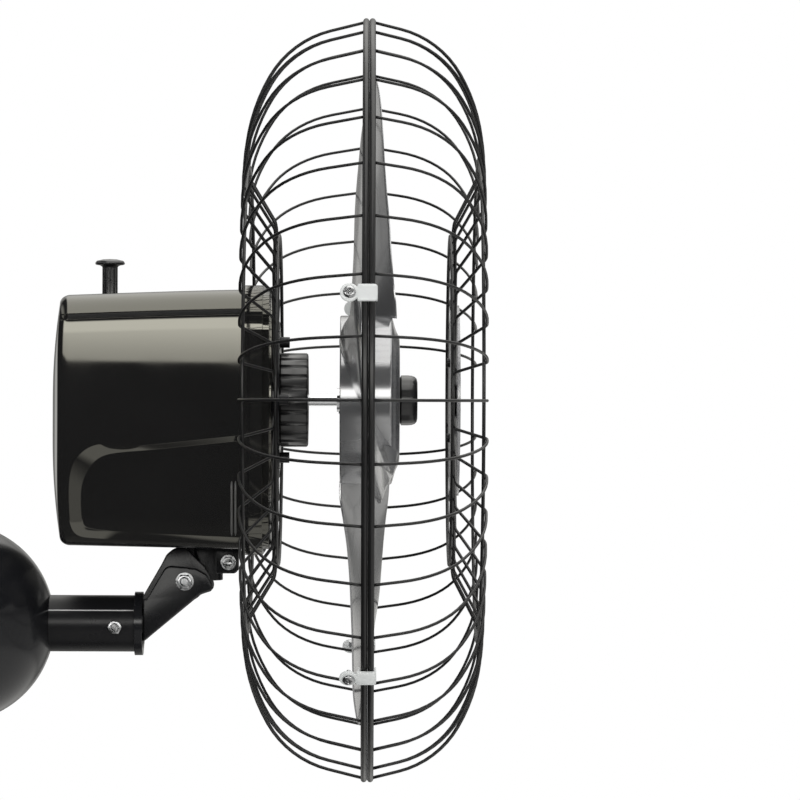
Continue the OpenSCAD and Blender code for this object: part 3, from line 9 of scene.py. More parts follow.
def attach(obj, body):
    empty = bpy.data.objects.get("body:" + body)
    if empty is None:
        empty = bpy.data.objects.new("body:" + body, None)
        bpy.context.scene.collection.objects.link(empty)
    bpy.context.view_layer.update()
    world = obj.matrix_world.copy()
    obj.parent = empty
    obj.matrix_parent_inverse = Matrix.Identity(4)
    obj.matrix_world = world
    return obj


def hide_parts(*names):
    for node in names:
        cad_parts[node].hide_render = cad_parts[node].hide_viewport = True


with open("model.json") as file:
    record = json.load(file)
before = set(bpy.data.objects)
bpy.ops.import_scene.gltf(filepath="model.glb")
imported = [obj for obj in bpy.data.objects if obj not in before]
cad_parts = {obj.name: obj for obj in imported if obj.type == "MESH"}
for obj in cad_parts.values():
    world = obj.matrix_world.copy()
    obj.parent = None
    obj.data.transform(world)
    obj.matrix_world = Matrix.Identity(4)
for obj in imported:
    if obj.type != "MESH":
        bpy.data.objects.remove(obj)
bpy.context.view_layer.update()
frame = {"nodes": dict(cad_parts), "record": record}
nodes = frame["nodes"]
scene = bpy.context.scene
scene.view_settings.view_transform = "Standard"

# Sizes are written in mm; every point leaves head() or arm() in metres
MM = 0.001
TAU = 2 * pi
AXIS = 190.8  # height of the fan axis over the arm axis
RIM = 356.0  # the plane between the two guard rims, out from the wall
RISE = 174.4  # height of the housing's middle over the arm axis
SWING_OUT = 217.0  # the swing post, out from the wall
PIVOT_Y, PIVOT_OUT = 36.8, 201.1  # the tilt pivot
KNOB_X, KNOB_OUT = 19.0, 134.6  # the switch knob
TUBE_R = 24.0


def head(x, y, out):
    """Head frame in mm: x across, y up from the fan axis, out from the wall."""
    return Vector((x, -out, AXIS + y)) * MM


def arm(x, y, out):
    """Arm frame in mm: x across, y up from the arm axis, out from the wall."""
    return Vector((x, -out, y)) * MM


# ---------- materials


def feed(tree, source, socket):
    """Link an output to the input socket, or give the socket a value."""
    if isinstance(source, bpy.types.NodeSocket):
        tree.links.new(source, socket)
    else:
        socket.default_value = source


def add(tree, kind, **sockets):
    """New node of a kind, with its named inputs fed."""
    n = tree.nodes.new(kind)
    for k, source in sockets.items():
        feed(tree, source, n.inputs[k.replace("_", " ")])
    return n


def combine(tree, how, *parts):
    """The parts taken together one after another by maths nodes."""
    out = parts[0]
    for part in parts[1:]:
        m = tree.nodes.new("ShaderNodeMath")
        m.operation = how
        feed(tree, out, m.inputs[0])
        feed(tree, part, m.inputs[1])
        out = m.outputs["Value"]
    return out


def mix_shader(tree, share, a, b):
    """Mix of two shaders, all b at share 1."""
    m = add(tree, "ShaderNodeMixShader", Fac=share)
    feed(tree, a, m.inputs[1])
    feed(tree, b, m.inputs[2])
    return m.outputs["Shader"]


def bare_tree(owner):
    """Emptied node tree of a material or world."""
    owner.use_nodes = True
    for n in list(owner.node_tree.nodes):
        owner.node_tree.nodes.remove(n)
    return owner.node_tree


def material(
    name, base, rough, metal=0.0, coat=0.0, coat_rough=0.04, spec=0.5, tint=None, sub=0.0,
    grain=900.0, bump=0.02, cloud=18.0, tone=0.15, spread=0.08, edge=0.0, edge_lift=0.0,
    stretch=(1.0, 1.0, 1.0), wave=0.0, wave_scale=6.0,
):
    """Procedural finish: colour clouds, rough patches, fine bump, slow waves and softened, slightly worn edges."""
    mat = bpy.data.materials.new(name)
    t = bare_tree(mat)
    coord = add(t, "ShaderNodeTexCoord").outputs["Object"]
    place = add(t, "ShaderNodeMapping", Vector=coord, Scale=stretch).outputs["Vector"]
    clouds = add(t, "ShaderNodeTexNoise", Vector=place, Scale=cloud, Detail=4.0).outputs["Fac"]
    fine = add(t, "ShaderNodeTexNoise", Vector=place, Scale=grain, Detail=2.0).outputs["Fac"]
    ramp = add(t, "ShaderNodeValToRGB", Fac=clouds)
    for stop, position, gain in zip(ramp.color_ramp.elements, (0.3, 0.7), (1 - tone, 1 + tone)):
        stop.position = position
        stop.color = (*[min(c * gain, 1) for c in base], 1)
    colour = ramp.outputs["Color"]
    low, high = max(rough - spread, 0.02), min(rough + spread, 1)
    patches = add(t, "ShaderNodeMapRange", Value=clouds, From_Min=0.3, From_Max=0.7, To_Min=low, To_Max=high)
    under = {}
    if edge:
        soft = add(t, "ShaderNodeBevel", Radius=edge)
        soft.samples = 6
        under["Normal"] = soft.outputs["Normal"]
        if edge_lift:
            dot = t.nodes.new("ShaderNodeVectorMath")
            dot.operation = "DOT_PRODUCT"
            feed(t, soft.outputs["Normal"], dot.inputs[0])
            feed(t, add(t, "ShaderNodeNewGeometry").outputs["Normal"], dot.inputs[1])
            turned = dot.outputs["Value"]
            worn = add(t, "ShaderNodeMapRange", Value=turned, From_Min=0.98, From_Max=0.75, To_Min=0, To_Max=edge_lift)
            mix = t.nodes.new("ShaderNodeMix")
            mix.data_type = "RGBA"
            feed(t, worn.outputs["Result"], mix.inputs["Factor"])
            feed(t, colour, mix.inputs["A"])
            feed(t, (*[min(c * 2.5 + 0.05, 0.9) for c in base], 1), mix.inputs["B"])
            colour = mix.outputs["Result"]
    if wave:
        slow = add(t, "ShaderNodeTexNoise", Vector=coord, Scale=wave_scale, Detail=1.0).outputs["Fac"]
        under["Normal"] = add(t, "ShaderNodeBump", Height=slow, Strength=1.0, Distance=wave, **under).outputs["Normal"]
    pits = add(t, "ShaderNodeBump", Height=fine, Strength=1.0, Distance=bump * MM, **under).outputs["Normal"]
    bsdf = add(
        t, "ShaderNodeBsdfPrincipled", Base_Color=colour, Roughness=patches.outputs["Result"], Normal=pits,
        Metallic=metal, Coat_Weight=coat, Coat_Roughness=coat_rough, Specular_IOR_Level=spec)
    if coat:
        feed(t, pits, bsdf.inputs["Coat Normal"])
    if tint:
        feed(t, (*tint, 1), bsdf.inputs["Specular Tint"])
    if sub:
        feed(t, sub, bsdf.inputs["Subsurface Weight"])
        feed(t, (0.004, 0.004, 0.004), bsdf.inputs["Subsurface Radius"])
    add(t, "ShaderNodeOutputMaterial", Surface=bsdf.outputs["BSDF"])
    return mat


def finishes(**table):
    """Materials by name, from (base colour, roughness, other values)."""
    return {name: material(name, base, rough, **more) for name, (base, rough, more) in table.items()}


GLOSS = dict(spec=1.0, tint=(1.0, 0.98, 0.86), tone=0.08)  # the housing and its cover, like a lacquer
EXTRA = finishes(
    # the ribs' lighter grey is a painted highlight along them
    rib_worn=((0.062, 0.062, 0.06), 0.4, dict(coat=0.1, bump=0.01)),
    # the seam's mid grey is a painted highlight line along the tube
    seam_worn=((0.5, 0.5, 0.5), 0.3, dict(coat=0.5, bump=0.01)),
    # the groove strip's matte near-black is painted shade for a dark reflected band
    groove_strip=((0.004, 0.004, 0.004), 0.55, dict(spec=0.25, bump=0.01)),
    tube_satin=((0.0085, 0.0085, 0.0095), 0.34, dict(spec=0.22, bump=0.012, edge=0.0007, edge_lift=0.2)),
    cover_gloss=((0.0082, 0.0082, 0.0086), 0.06, dict(bump=0.0006, grain=500, spread=0.02, edge=0.0005, **GLOSS)),
)
# One finish for each slot of the record
MATS = finishes(
    black_paint=((0.0095, 0.0098, 0.0112), 0.2, dict(spec=0.3, coat=0.08, bump=0.008, edge=0.0007, edge_lift=0.2)),
    black_casting=((0.0066, 0.0068, 0.0077), 0.27, dict(
        coat=0.06, coat_rough=0.2, spec=0.24, bump=0.02, grain=700, edge=0.0011, edge_lift=0.35)),
    black_plastic=((0.011, 0.011, 0.0118), 0.34, dict(
        coat=0.35, coat_rough=0.12, bump=0.02, edge=0.0005, edge_lift=0.15)),
    housing_plastic=((0.0082, 0.0082, 0.0086), 0.028, dict(
        bump=0.0003, grain=400, spread=0.012, edge=0.0003, wave=0.000025, wave_scale=7.0, **GLOSS)),
    guard_wire=((0.0078, 0.0078, 0.0082), 0.38, dict(
        coat=0.14, coat_rough=0.15, spec=0.3, bump=0.02, grain=1200, tone=0.2)),
    zinc_steel=((0.4, 0.405, 0.415), 0.3, dict(
        metal=1.0, bump=0.01, grain=1500, cloud=260, tone=0.16, spread=0.1, edge=0.0003)),
    black_steel=((0.02, 0.02, 0.022), 0.36, dict(metal=0.6, bump=0.01, edge=0.0002)),
    bright_steel=((0.66, 0.67, 0.69), 0.14, dict(
        metal=1.0, bump=0.004, grain=500, cloud=120, tone=0.06, spread=0.04, stretch=(1, 0.1, 1))),
    cast_alloy=((0.42, 0.43, 0.45), 0.48, dict(
        metal=0.9, bump=0.08, grain=1400, cloud=60, tone=0.12, edge=0.0006, edge_lift=0.3)),
    core_steel=((0.28, 0.28, 0.29), 0.4, dict(
        metal=0.9, bump=0.05, grain=1800, stretch=(0.05, 1, 0.05), edge=0.0002)),
    copper_wire=((0.46, 0.17, 0.07), 0.34, dict(
        metal=0.85, coat=0.6, bump=0.12, grain=900, stretch=(1, 0.3, 1), tone=0.25)),
    gear_plastic=((0.68, 0.64, 0.53), 0.38, dict(bump=0.015, edge=0.0002, tone=0.06, sub=0.1)),
    worm_brass=((0.72, 0.52, 0.24), 0.26, dict(metal=1.0, bump=0.008, edge=0.0002)),
    clip_plastic=((0.63, 0.645, 0.64), 0.36, dict(
        bump=0.02, grain=800, tone=0.05, edge=0.0006, sub=0.15, coat=0.2, coat_rough=0.2)),
    badge_plastic=((0.34, 0.34, 0.35), 0.32, dict(
        metal=0.3, coat=0.4, bump=0.006, grain=1500, tone=0.03, edge=0.0004)),
    blade_plastic=((0.31, 0.312, 0.32), 0.18, dict(
        metal=0.72, coat=0.35, coat_rough=0.06, bump=0.006, grain=1600, cloud=10,
        tone=0.06, spread=0.04, wave=0.00006, wave_scale=14.0)),
    white_plastic=((0.66, 0.65, 0.61), 0.42, dict(bump=0.02, tone=0.05, edge=0.0003)),
)

# Every carried-over CAD node takes the finish of its slot
slot_names = {m.get("slot") for m in frame["record"].get("materials", [])}
for obj in nodes.values():
    for part_slot in obj.material_slots:
        packed = part_slot.material.name.split(".")[0] if part_slot.material else ""
        if packed in slot_names and packed in MATS:
            part_slot.material = MATS[packed]

# Four of them have a finish of their own; the screws round the guard plate are blackened
OWN_FINISH = {
    "guard_screws": MATS["black_steel"],
    "badge_screws": MATS["black_steel"],
    "front_cover": EXTRA["cover_gloss"],
    "arm_tube": EXTRA["tube_satin"],
}
for name, finish in OWN_FINISH.items():
    for part_slot in nodes[name].material_slots:
        part_slot.material = finish

# ---------- mesh helpers


def clean_mesh(name, verts, faces, weld=0):
    """Mesh with its faces turned outwards and doubled points within weld joined."""
    me = bpy.data.meshes.new(name)
    me.from_pydata([tuple(v) for v in verts], [], [tuple(f) for f in faces])
    bm = bmesh.new()
    bm.from_mesh(me)
    if weld:
        bmesh.ops.remove_doubles(bm, verts=bm.verts, dist=weld)
    bmesh.ops.recalc_face_normals(bm, faces=bm.faces)
    bm.to_mesh(me)
    bm.free()
    return me


def piece(name, build, body, slot, replaces=(), sharp=None, weld=1e-6, finish=None):
    """Visible piece on a body, in its slot's finish or another, for the CAD nodes that it replaces."""
    me = clean_mesh(name, build.v, build.f, weld)
    for p in me.polygons:
        p.use_smooth = True
    if sharp:
        me.set_sharp_from_angle(angle=radians(sharp))
    obj = bpy.data.objects.new(name, me)
    scene.collection.objects.link(obj)
    me.materials.append(MATS[slot])
    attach(obj, body)
    if replaces:
        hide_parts(*replaces)
    if finish:
        me.materials[0] = EXTRA[finish]
    return obj


def circle(place, r, h, steps):
    """Ring of points; r and h are numbers or functions of the angle, and place(x, y, h) gives the point."""
    row = []
    for k in range(steps):
        a = TAU * k / steps
        rr = r(a) if callable(r) else r
        row.append(place(rr * cos(a), rr * sin(a), h(a) if callable(h) else h))
    return row


class Build:
    """Collects several closed forms into one mesh."""

    def __init__(self):
        self.v, self.f = [], []

    def grid(self, rows, close_u=False, close_v=True, caps=False):
        """Skin over rows of points, v along a row and u from row to row, with caps on the end rows."""
        n0, w, h = len(self.v), len(rows[0]), len(rows)
        for r in rows:
            self.v.extend(r)
        for i in range(h if close_u else h - 1):
            for j in range(w if close_v else w - 1):
                a, b = n0 + i * w + j, n0 + i * w + (j + 1) % w
                c, d = n0 + ((i + 1) % h) * w + j, n0 + ((i + 1) % h) * w + (j + 1) % w
                self.f.append((a, b, d, c))
        if caps:
            self.f.append(tuple(n0 + j for j in range(w))[::-1])
            self.f.append(tuple(n0 + (h - 1) * w + j for j in range(w)))

    def lathe(self, profile, place, steps=96, close=False):
        """Turned form from a profile of (radius, height); place(x, y, height) gives the point."""
        self.grid([circle(place, r, h, steps) for r, h in profile], close_u=close, caps=not close)

    def sweep(self, points, radius, sides=14, closed=False):
        """Round tube along points, with a parallel-carried frame."""
        n = len(points)
        tang = []
        for i in range(n):
            a = points[(i - 1) % n] if closed or i > 0 else points[i]
            b = points[(i + 1) % n] if closed or i < n - 1 else points[i]
            tang.append((b - a).normalized())
        u = tang[0].orthogonal().normalized()
        rows = []
        for i in range(n):
            u = (u - tang[i] * u.dot(tang[i])).normalized()
            w = tang[i].cross(u)
            rows.append(circle(lambda x, y, h: points[i] + u * x + w * y, radius, 0, sides))
        self.grid(rows, close_u=closed, caps=not closed)


def bend(a, b, c, cut, steps):
    """Points of a curve that cuts the corner b between a and c."""
    p0, p1 = b + (a - b).normalized() * cut, b + (c - b).normalized() * cut
    shares = [k / steps for k in range(steps + 1)]
    return [p0 * (1 - s) ** 2 + b * (2 * s * (1 - s)) + p1 * s * s for s in shares]


def rounded(profile, radius):
    """Profile (r, h) with its inner corners rounded."""
    pts = [Vector(p) for p in profile]
    out = [profile[0]]
    for a, b, c in zip(pts, pts[1:], pts[2:]):
        cut = min(radius, (a - b).length * 0.45, (c - b).length * 0.45)
        out += [tuple(q) for q in bend(a, b, c, cut, 5)]
    return out + [profile[-1]]


# ---------- guards

RIM_R, RIM_WIRE, WIRE, RING = 322.0, 2.4, 1.25, 1.5  # the rims' radius, then three wire radii
RIM_OFF, SEAT = 0.3, 0.06  # the rim wire's gap from the rim plane, and the gap of a wire lying on another
LEAN = radians(14)  # the wires' first heading at the rim
START = (RIM_R - (RIM_WIRE + SEAT) * sin(LEAN), RIM_WIRE + RIM_OFF + (RIM_WIRE + SEAT) * cos(LEAN))
SPOKES, DISH_R, INNER_R, RIM_FULLER = 40, 140.0, 72.0, 0.29


def wire_line(steps, flat_to):
    """Points (r, a) of a wire from rim to middle and its corners: steps are (size, heading, end heading, arc)."""
    r, a = START
    pts = [(r, a)]
    corners = [(r, a)]
    for size, h0, h1, arc in steps:
        n = 8 if arc else 3
        r0, a0 = r, a
        for k in range(1, n + 1):
            if arc:
                h = h0 + (h1 - h0) * k / n
                way = 1 if h1 > h0 else -1
                r = r0 - way * size * (cos(radians(h0)) - cos(radians(h)))
                a = a0 + way * size * (sin(radians(h)) - sin(radians(h0)))
            else:
                r = r0 - size * k / n * sin(radians(h0))
                a = a0 + size * k / n * cos(radians(h0))
            pts.append((r, a))
        corners.append((r, a))
    for k in (1, 2, 3):
        pts.append((r + (flat_to - r) * k / 3, a))
    return pts, corners


GUARDS = (
    ("front", 1, *wire_line([
        (22.28, 14, 14, 0), (80, 14, 60, 1), (145.924, 60, 90, 1), (5, 90, 90, 0),
        (13, 90, 117, 1), (46.5, 117, 117, 0), (13, 117, 90, 1)], 73.56)),
    ("rear", -1, *wire_line([
        (28.5, 14, 14, 0), (82, 14, 60, 1), (155.092, 60, 90, 1), (1, 90, 90, 0),
        (13, 90, 121, 1), (43, 121, 121, 0), (13, 121, 90, 1)], 59.06)))

for label, side, line, _ in GUARDS:
    wires = Build()
    for k in range(SPOKES):
        c, s = cos(TAU * k / SPOKES), sin(TAU * k / SPOKES)
        wires.sweep([head(r * c, r * s, RIM + side * a) for r, a in line], WIRE * MM, 10)
    piece(f"{label}_guard_spokes", wires, "head", "guard_wire", [f"{label}_guard_wires"], weld=0)

for label, side, _, corners in GUARDS:
    top, level = corners[3], corners[-1]
    drop = WIRE + RING + SEAT
    # the rims are a trace fuller than in the CAD, so no light shows between them
    hoops = [(RIM_R - RIM_OFF, RIM_WIRE + RIM_OFF, RIM_WIRE + RIM_FULLER)]
    hoops += [(top[0], top[1] - drop, RING), (DISH_R, level[1] - drop, RING)]
    if label == "front":
        hoops.append((INNER_R, level[1], RING))
    rings = Build()
    for r, a, w in hoops:
        rings.sweep(circle(head, r, RIM + side * a, 160), w * MM, closed=True)
    piece(f"{label}_guard_hoops", rings, "head", "guard_wire", [f"{label}_guard_rings"], weld=0)

# ---------- rotor

# Blade tables over the span from root to tip: half width in degrees, and the share of HUB_BACK
# by which the leading edge stands forward and the trailing edge back
SPAN = [0, 0.06, 0.14, 0.24, 0.36, 0.48, 0.6, 0.72, 0.83, 0.91, 0.96, 0.985, 1]
HALF = [40, 39.4, 37, 32, 26.8, 24, 22, 20.5, 19.2, 18.2, 17.0, 15.3, 11.6]
FORE = [0.985, 0.96, 0.88, 0.8, 0.74, 0.64, 0.56, 0.5, 0.44, 0.36, 0.28, 0.24, 0.18]
AFT = [0.985, 0.98, 0.86, 0.72, 0.63, 0.58, 0.54, 0.52, 0.5, 0.42, 0.34, 0.29, 0.22]
ROOT, TIP, HUB_BACK, CAMBER = 70.4, 294.0, 24.0, 24.0
BLADES, BLADE_TURN, BLADE_ROWS, BLADE_COLUMNS, HUB_RIBS = 3, 0.7, 46, 32, 6
THICK, ROOT_ADDS = 2.6, 1.8  # a blade's thickness at its tip, and what its root has more


def table_at(values, s):
    """Smooth value of a span table at share s."""
    for i in range(len(SPAN) - 1):
        if s <= SPAN[i + 1] or i == len(SPAN) - 2:
            break
    x0, x1 = SPAN[i], SPAN[i + 1]
    y0, y1 = values[i], values[i + 1]
    m0 = (y1 - (values[i - 1] if i else y0)) / (x1 - (SPAN[i - 1] if i else x0))
    m1 = ((values[i + 2] if i + 2 < len(SPAN) else y1) - y0) / ((SPAN[i + 2] if i + 2 < len(SPAN) else x1) - x0)
    t = min(max((s - x0) / (x1 - x0), 0), 1)
    h = x1 - x0
    near = (2 * t ** 3 - 3 * t ** 2 + 1) * y0 + (t ** 3 - 2 * t ** 2 + t) * h * m0
    return near + (-2 * t ** 3 + 3 * t ** 2) * y1 + (t ** 3 - t ** 2) * h * m1


def blade_place(k, r, a, h):
    """Point of blade k: radius r, own angle a in degrees, height h from the rim plane."""
    turned = radians(180 - BLADE_TURN - 360 / BLADES * k - a)
    return head(r * cos(turned), r * sin(turned), RIM + h)


def blade_rows(k):
    """Closed cross sections of blade k, denser towards the tip."""
    rows = []
    for i in range(BLADE_ROWS + 1):
        s = 1 - (1 - i / BLADE_ROWS) ** 1.25
        r = ROOT + (TIP - ROOT) * s
        half, fore, aft = (table_at(tab, s) for tab in (HALF, FORE, AFT))
        thick = THICK + ROOT_ADDS * (1 - s)
        tip_thin = min(1.0, 0.35 + (1 - s) * 14)
        upper, lower = [], []
        for j in range(BLADE_COLUMNS + 1):
            u = 0.5 - 0.5 * cos(pi * j / BLADE_COLUMNS) * (1 - 0.002)
            a = half * (2 * u - 1)
            h = HUB_BACK * (fore * (1 - u) - aft * u) - CAMBER * u * (1 - u) * (1 - 0.4 * s)
            edge_thin = min(1.0, 0.3 + 2.2 * sqrt(max(min(u, 1 - u), 0)) * 3)
            t = thick * (0.45 + 2.2 * u * (1 - u)) * tip_thin * edge_thin
            upper.append(blade_place(k, r, a, h + t / 2))
            lower.append(blade_place(k, r, a, h - t / 2))
        rows.append(upper + lower[::-1])
    return rows


rotor = Build()
for k in range(BLADES):
    rotor.grid(blade_rows(k), caps=True)
hub_skin = rounded([(68.8, -24.0), (72.0, -24.0), (72.0, 19.8), (59.8, 23.2), (53.0, 26.6), (5.05, 26.6),
                    (5.05, -20.2), (14.0, -20.2), (14.0, 23.0), (68.8, 16.6)], 2.4)
rotor.lathe(hub_skin, lambda x, y, h: head(x, y, RIM + h), 144, close=True)
for k in range(HUB_RIBS):
    a = TAU * k / HUB_RIBS
    d, n = Vector((cos(a), sin(a))), Vector((-sin(a), cos(a)))
    flat = [d * r + n * w for r, w in ((13.5, -0.8), (69.4, -0.8), (69.4, 0.8), (13.5, 0.8))]
    rotor.grid([[head(*p, RIM + h) for p in flat] for h in (-11.5, 18.0)], caps=True)
piece("rotor_blades", rotor, "rotor", "blade_plastic", ["fan_blades"], sharp=38)

# ---------- motor housing

BACK, SHOULDER, FRONT_OUT = 88.3, 10.5, 252.8
HX, HZ, TURN, BOW, SAG = 100.0, 109.2, 25.0, 0.031, 0.012
CREASE, SIDE_TURN, POCKET_DEEP, GROOVE_DEEP = 105.4, 7.0, 3.4, 0.9
TAPER_OUT, TAPER_LONG = 98.8, 154.0  # towards the wall the outline draws in by the next three
DRAW_SIDE, DRAW_TOP, DRAW_BOTTOM = 2.0, 5.2, 3.0
INSET = 8.5  # the inner skin, in from the outline
PX_OUT, PX_Z, PX_MM = -50, 624.5, 0.852  # the photo's pixel at the wall and arm axis, and its scale
PX_DRAW, PX_EYE = 0.974, 191  # the near side is seen larger, so it draws in about RIM and the eye


def px(x, y):
    """Point on the near side, (out, height above the housing's middle) in mm, from the photo's own scale."""
    out, z = (x - PX_OUT) * PX_MM, (PX_Z - y) * PX_MM
    return (RIM - (RIM - out) * PX_DRAW, PX_EYE + (z - PX_EYE) * PX_DRAW - RISE)


MARKS = [0.0, HX - TURN]  # lengths s at which the half outline changes from flat to turn and back
for length in (TURN * pi / 2, 2 * (HZ - TURN), TURN * pi / 2):
    MARKS.append(MARKS[-1] + length)
MARKS.append(MARKS[-1] + HX - TURN)


def section(out, s, inset=0.0):
    """Point (x, z) of the half outline, s from the top's middle down the near side to the floor's middle."""
    back = 1 - min(max((out - TAPER_OUT) / TAPER_LONG, 0), 1)
    hx, c = HX - inset - DRAW_SIDE * back, TURN - inset
    top, bottom = HZ - inset - DRAW_TOP * back ** 1.25, HZ - inset - DRAW_BOTTOM * back
    k = 0
    while k < 4 and s > MARKS[k + 1]:
        k += 1
    f = (s - MARKS[k]) / (MARKS[k + 1] - MARKS[k])
    a = pi / 2 * f
    if k == 0:
        x, z = -(hx - c) * f, top
    elif k == 1:
        x, z = -(hx - c) - c * sin(a), top - c + c * cos(a)
    elif k == 2:
        x, z = -hx, top - c - f * (top + bottom - 2 * c)
    elif k == 3:
        x, z = -(hx - c) - c * cos(a), -(bottom - c) - c * sin(a)
    else:
        x, z = -(hx - c) * (1 - f), -bottom
    x *= 1 - BOW * (z / HZ) ** 2
    z *= 1 - SAG * (x / HX) ** 2
    return Vector((x, z))


def section_normal(out, s, inset=0.0):
    """Outward normal (x, z) of the outline at s."""
    t = section(out, min(s + 0.4, MARKS[5]), inset) - section(out, max(s - 0.4, 0), inset)
    return Vector((t.y, -t.x)).normalized()


def side_s(out, z):
    """The length s at which the near side has the height z."""
    lo, hi = MARKS[1], MARKS[4]
    for _ in range(40):
        mid = (lo + hi) / 2
        if section(out, mid).y > z:
            lo = mid
        else:
            hi = mid
    return (lo + hi) / 2


def skin(out, s, deep=0.0):
    """Point (x, z, out) of the housing, sunk by deep."""
    p = section(out, s)
    if deep:
        p = p - section_normal(out, s) * deep
    return Vector((p.x, p.y, out))


def spread(line, n):
    """The open line as n + 1 points, evenly spaced along it."""
    far = [0.0]
    for p, q in zip(line, line[1:]):
        far.append(far[-1] + (q - p).length)
    out, j = [], 0
    for i in range(n + 1):
        want = far[-1] * i / n
        while j < len(line) - 2 and far[j + 1] < want:
            j += 1
        f = (want - far[j]) / (far[j + 1] - far[j])
        out.append(line[j] + (line[j + 1] - line[j]) * min(max(f, 0), 1))
    return out


N_LONG, N_BACK = 64, 30  # steps along the pocket's long edges and down its back


def pocket_edge(points, turn_a, turn_b):
    """Outline of the pocket as (out, s): along the top to the back, down, and along the bottom to the front."""
    line = [Vector(px(*p)) for p in points]
    for _ in range(4):
        cuts = [q for p, r in zip(line, line[1:]) for q in (p * 0.75 + r * 0.25, p * 0.25 + r * 0.75)]
        line = [line[0]] + cuts + [line[-1]]
    line = [p for p in line if p.x < FRONT_OUT - 0.5]
    line = [Vector((FRONT_OUT, line[0].y))] + line + [Vector((FRONT_OUT, line[-1].y))]
    line = [Vector((p.x, side_s(p.x, p.y))) for p in line]

    def closest(p):
        q = Vector(px(*p))
        q = Vector((q.x, side_s(q.x, q.y)))
        return min(range(len(line)), key=lambda i: (line[i] - q).length)

    i, j = closest(turn_a), closest(turn_b)
    return spread(line[:i + 1], N_LONG) + spread(line[i:j + 1], N_BACK)[1:] + spread(line[j:], N_LONG)[1:]


# The pocket's rim and the line of its floor, in the photo's pixels
EDGE_OUT = pocket_edge((
    (268, 433), (240, 436), (190, 441.5), (145, 446.4), (124, 446.2), (108, 445.2), (95, 445.2), (82, 451),
    (72.5, 461), (68.5, 474), (67.5, 490), (68, 508), (69, 526), (75, 538), (92, 540.5), (124, 542.5),
    (240, 546.0), (268, 546.5)), (86, 451), (72, 531))
EDGE_IN = pocket_edge((
    (268, 439), (240.5, 441.7), (190, 447), (145, 451.8), (122, 453.6), (106, 456), (96, 461.5), (87, 474),
    (81.5, 487), (80.5, 502), (81.4, 518), (83, 530), (92, 532.6), (124, 535.2), (236, 541.4),
    (268, 543)), (98, 462), (84.5, 526))

S_UPPER, S_LOWER = side_s(180, -6.0), MARKS[4]  # the side panel's upper and lower border
OUTS = [FRONT_OUT + (CREASE - FRONT_OUT) * i / N_LONG for i in range(N_LONG + 1)]


def levels(a, b, shares):
    """Lengths s on the line from a to b, at shares of the way."""
    return [a.lerp(b, f).y for f in shares]


def belt(s_list, deep_list):
    """Rows from the front edge to the back crease, one a level s."""
    return [[skin(o, s, d) for o in OUTS] for s, d in zip(s_list, deep_list)]


EDGE, GROOVE_Z = 3.2, 88.6  # half the groove with its rounded lips, and its height
groove = side_s(200, GROOVE_Z)
upper_s = [MARKS[1] * i / 9 for i in range(9)]
upper_s += [MARKS[1] + (groove - EDGE - MARKS[1]) * i / 14 for i in range(15)]
upper_d = [0.0] * len(upper_s)
lips = ((-2.6, 0), (-2.3, 0.35), (-2.0, 1), (-1.6, 1), (0, 1), (1.6, 1), (2.0, 1), (2.3, 0.35), (2.6, 0), (EDGE, 0))
upper_s += [groove + ds for ds, _ in lips]
upper_d += [d * GROOVE_DEEP for _, d in lips]
N_UNDER = 16
upper_s += [groove + EDGE + (S_UPPER - groove - EDGE) * i / N_UNDER for i in range(1, N_UNDER + 1)]
upper_d += [0.0] * N_UNDER
lower_s = [S_LOWER + (MARKS[5] - S_LOWER) * i / 8 for i in range(9)]

# Border of the side panel: along its top to the crease, down it, and along its bottom to the front
outer_line = [Vector((o, S_UPPER)) for o in OUTS]
outer_line += [Vector((CREASE, S_UPPER + (S_LOWER - S_UPPER) * i / N_BACK)) for i in range(1, N_BACK + 1)]
outer_line += [Vector((o, S_LOWER)) for o in OUTS[::-1][1:]]


def around(share, deep_share=0.0):
    """Ring of the side panel: share 0 to 1 from its border to the pocket's edge, 1 to 2 down its ramp."""
    row = []
    for a, b, c in zip(outer_line, EDGE_OUT, EDGE_IN):
        q = a.lerp(b, share) if share <= 1 else b.lerp(c, share - 1)
        row.append(skin(q.x, q.y, POCKET_DEEP * deep_share))
    return row


SIDE_STEPS = (0.09, 0.2, 0.32, 0.44, 0.56, 0.68, 0.8, 0.9, 0.97, 1.0)
RAMP_STEPS = (0.03, 0.08, 0.2, 0.35, 0.5, 0.65, 0.8, 0.92, 0.97, 1.0)
rings = [around(f) for f in (0, *SIDE_STEPS)]
rings += [around(1 + f, min(max((f - 0.03) / 0.94, 0), 1)) for f in RAMP_STEPS]
floor_top, floor_back = EDGE_IN[:N_LONG + 1], EDGE_IN[N_LONG:N_LONG + N_BACK + 1]
floor_bottom = EDGE_IN[N_LONG + N_BACK:][::-1]
floor_front = [floor_top[0].lerp(floor_bottom[0], i / N_BACK) for i in range(N_BACK + 1)]
patch = []
for j in range(N_BACK + 1):
    v = j / N_BACK
    row = []
    for i in range(N_LONG + 1):
        u = i / N_LONG
        q = floor_top[i] * (1 - v) + floor_bottom[i] * v + floor_front[j] * (1 - u) + floor_back[j] * u
        far = floor_top[0] * ((1 - u) * (1 - v)) + floor_top[-1] * (u * (1 - v))
        q -= far + floor_bottom[0] * ((1 - u) * v) + floor_bottom[-1] * (u * v)
        row.append(skin(q.x, q.y, POCKET_DEEP))
    patch.append(row)

upper, lower = belt(upper_s, upper_d), belt(lower_s, [0.0] * len(lower_s))
crease_s = upper_s + [p.y for p in outer_line[N_LONG:N_LONG + N_BACK + 1]][1:] + lower_s[1:]
mouth_s = upper_s + levels(outer_line[0], EDGE_OUT[0], SIDE_STEPS) + levels(EDGE_OUT[0], EDGE_IN[0], RAMP_STEPS)
mouth_s += [p.y for p in floor_front[1:]] + levels(EDGE_OUT[-1], EDGE_IN[-1], (*RAMP_STEPS[-2::-1], 0.0))
mouth_s += levels(outer_line[-1], EDGE_OUT[-1], (*SIDE_STEPS[-2::-1], 0.0)) + lower_s[1:]


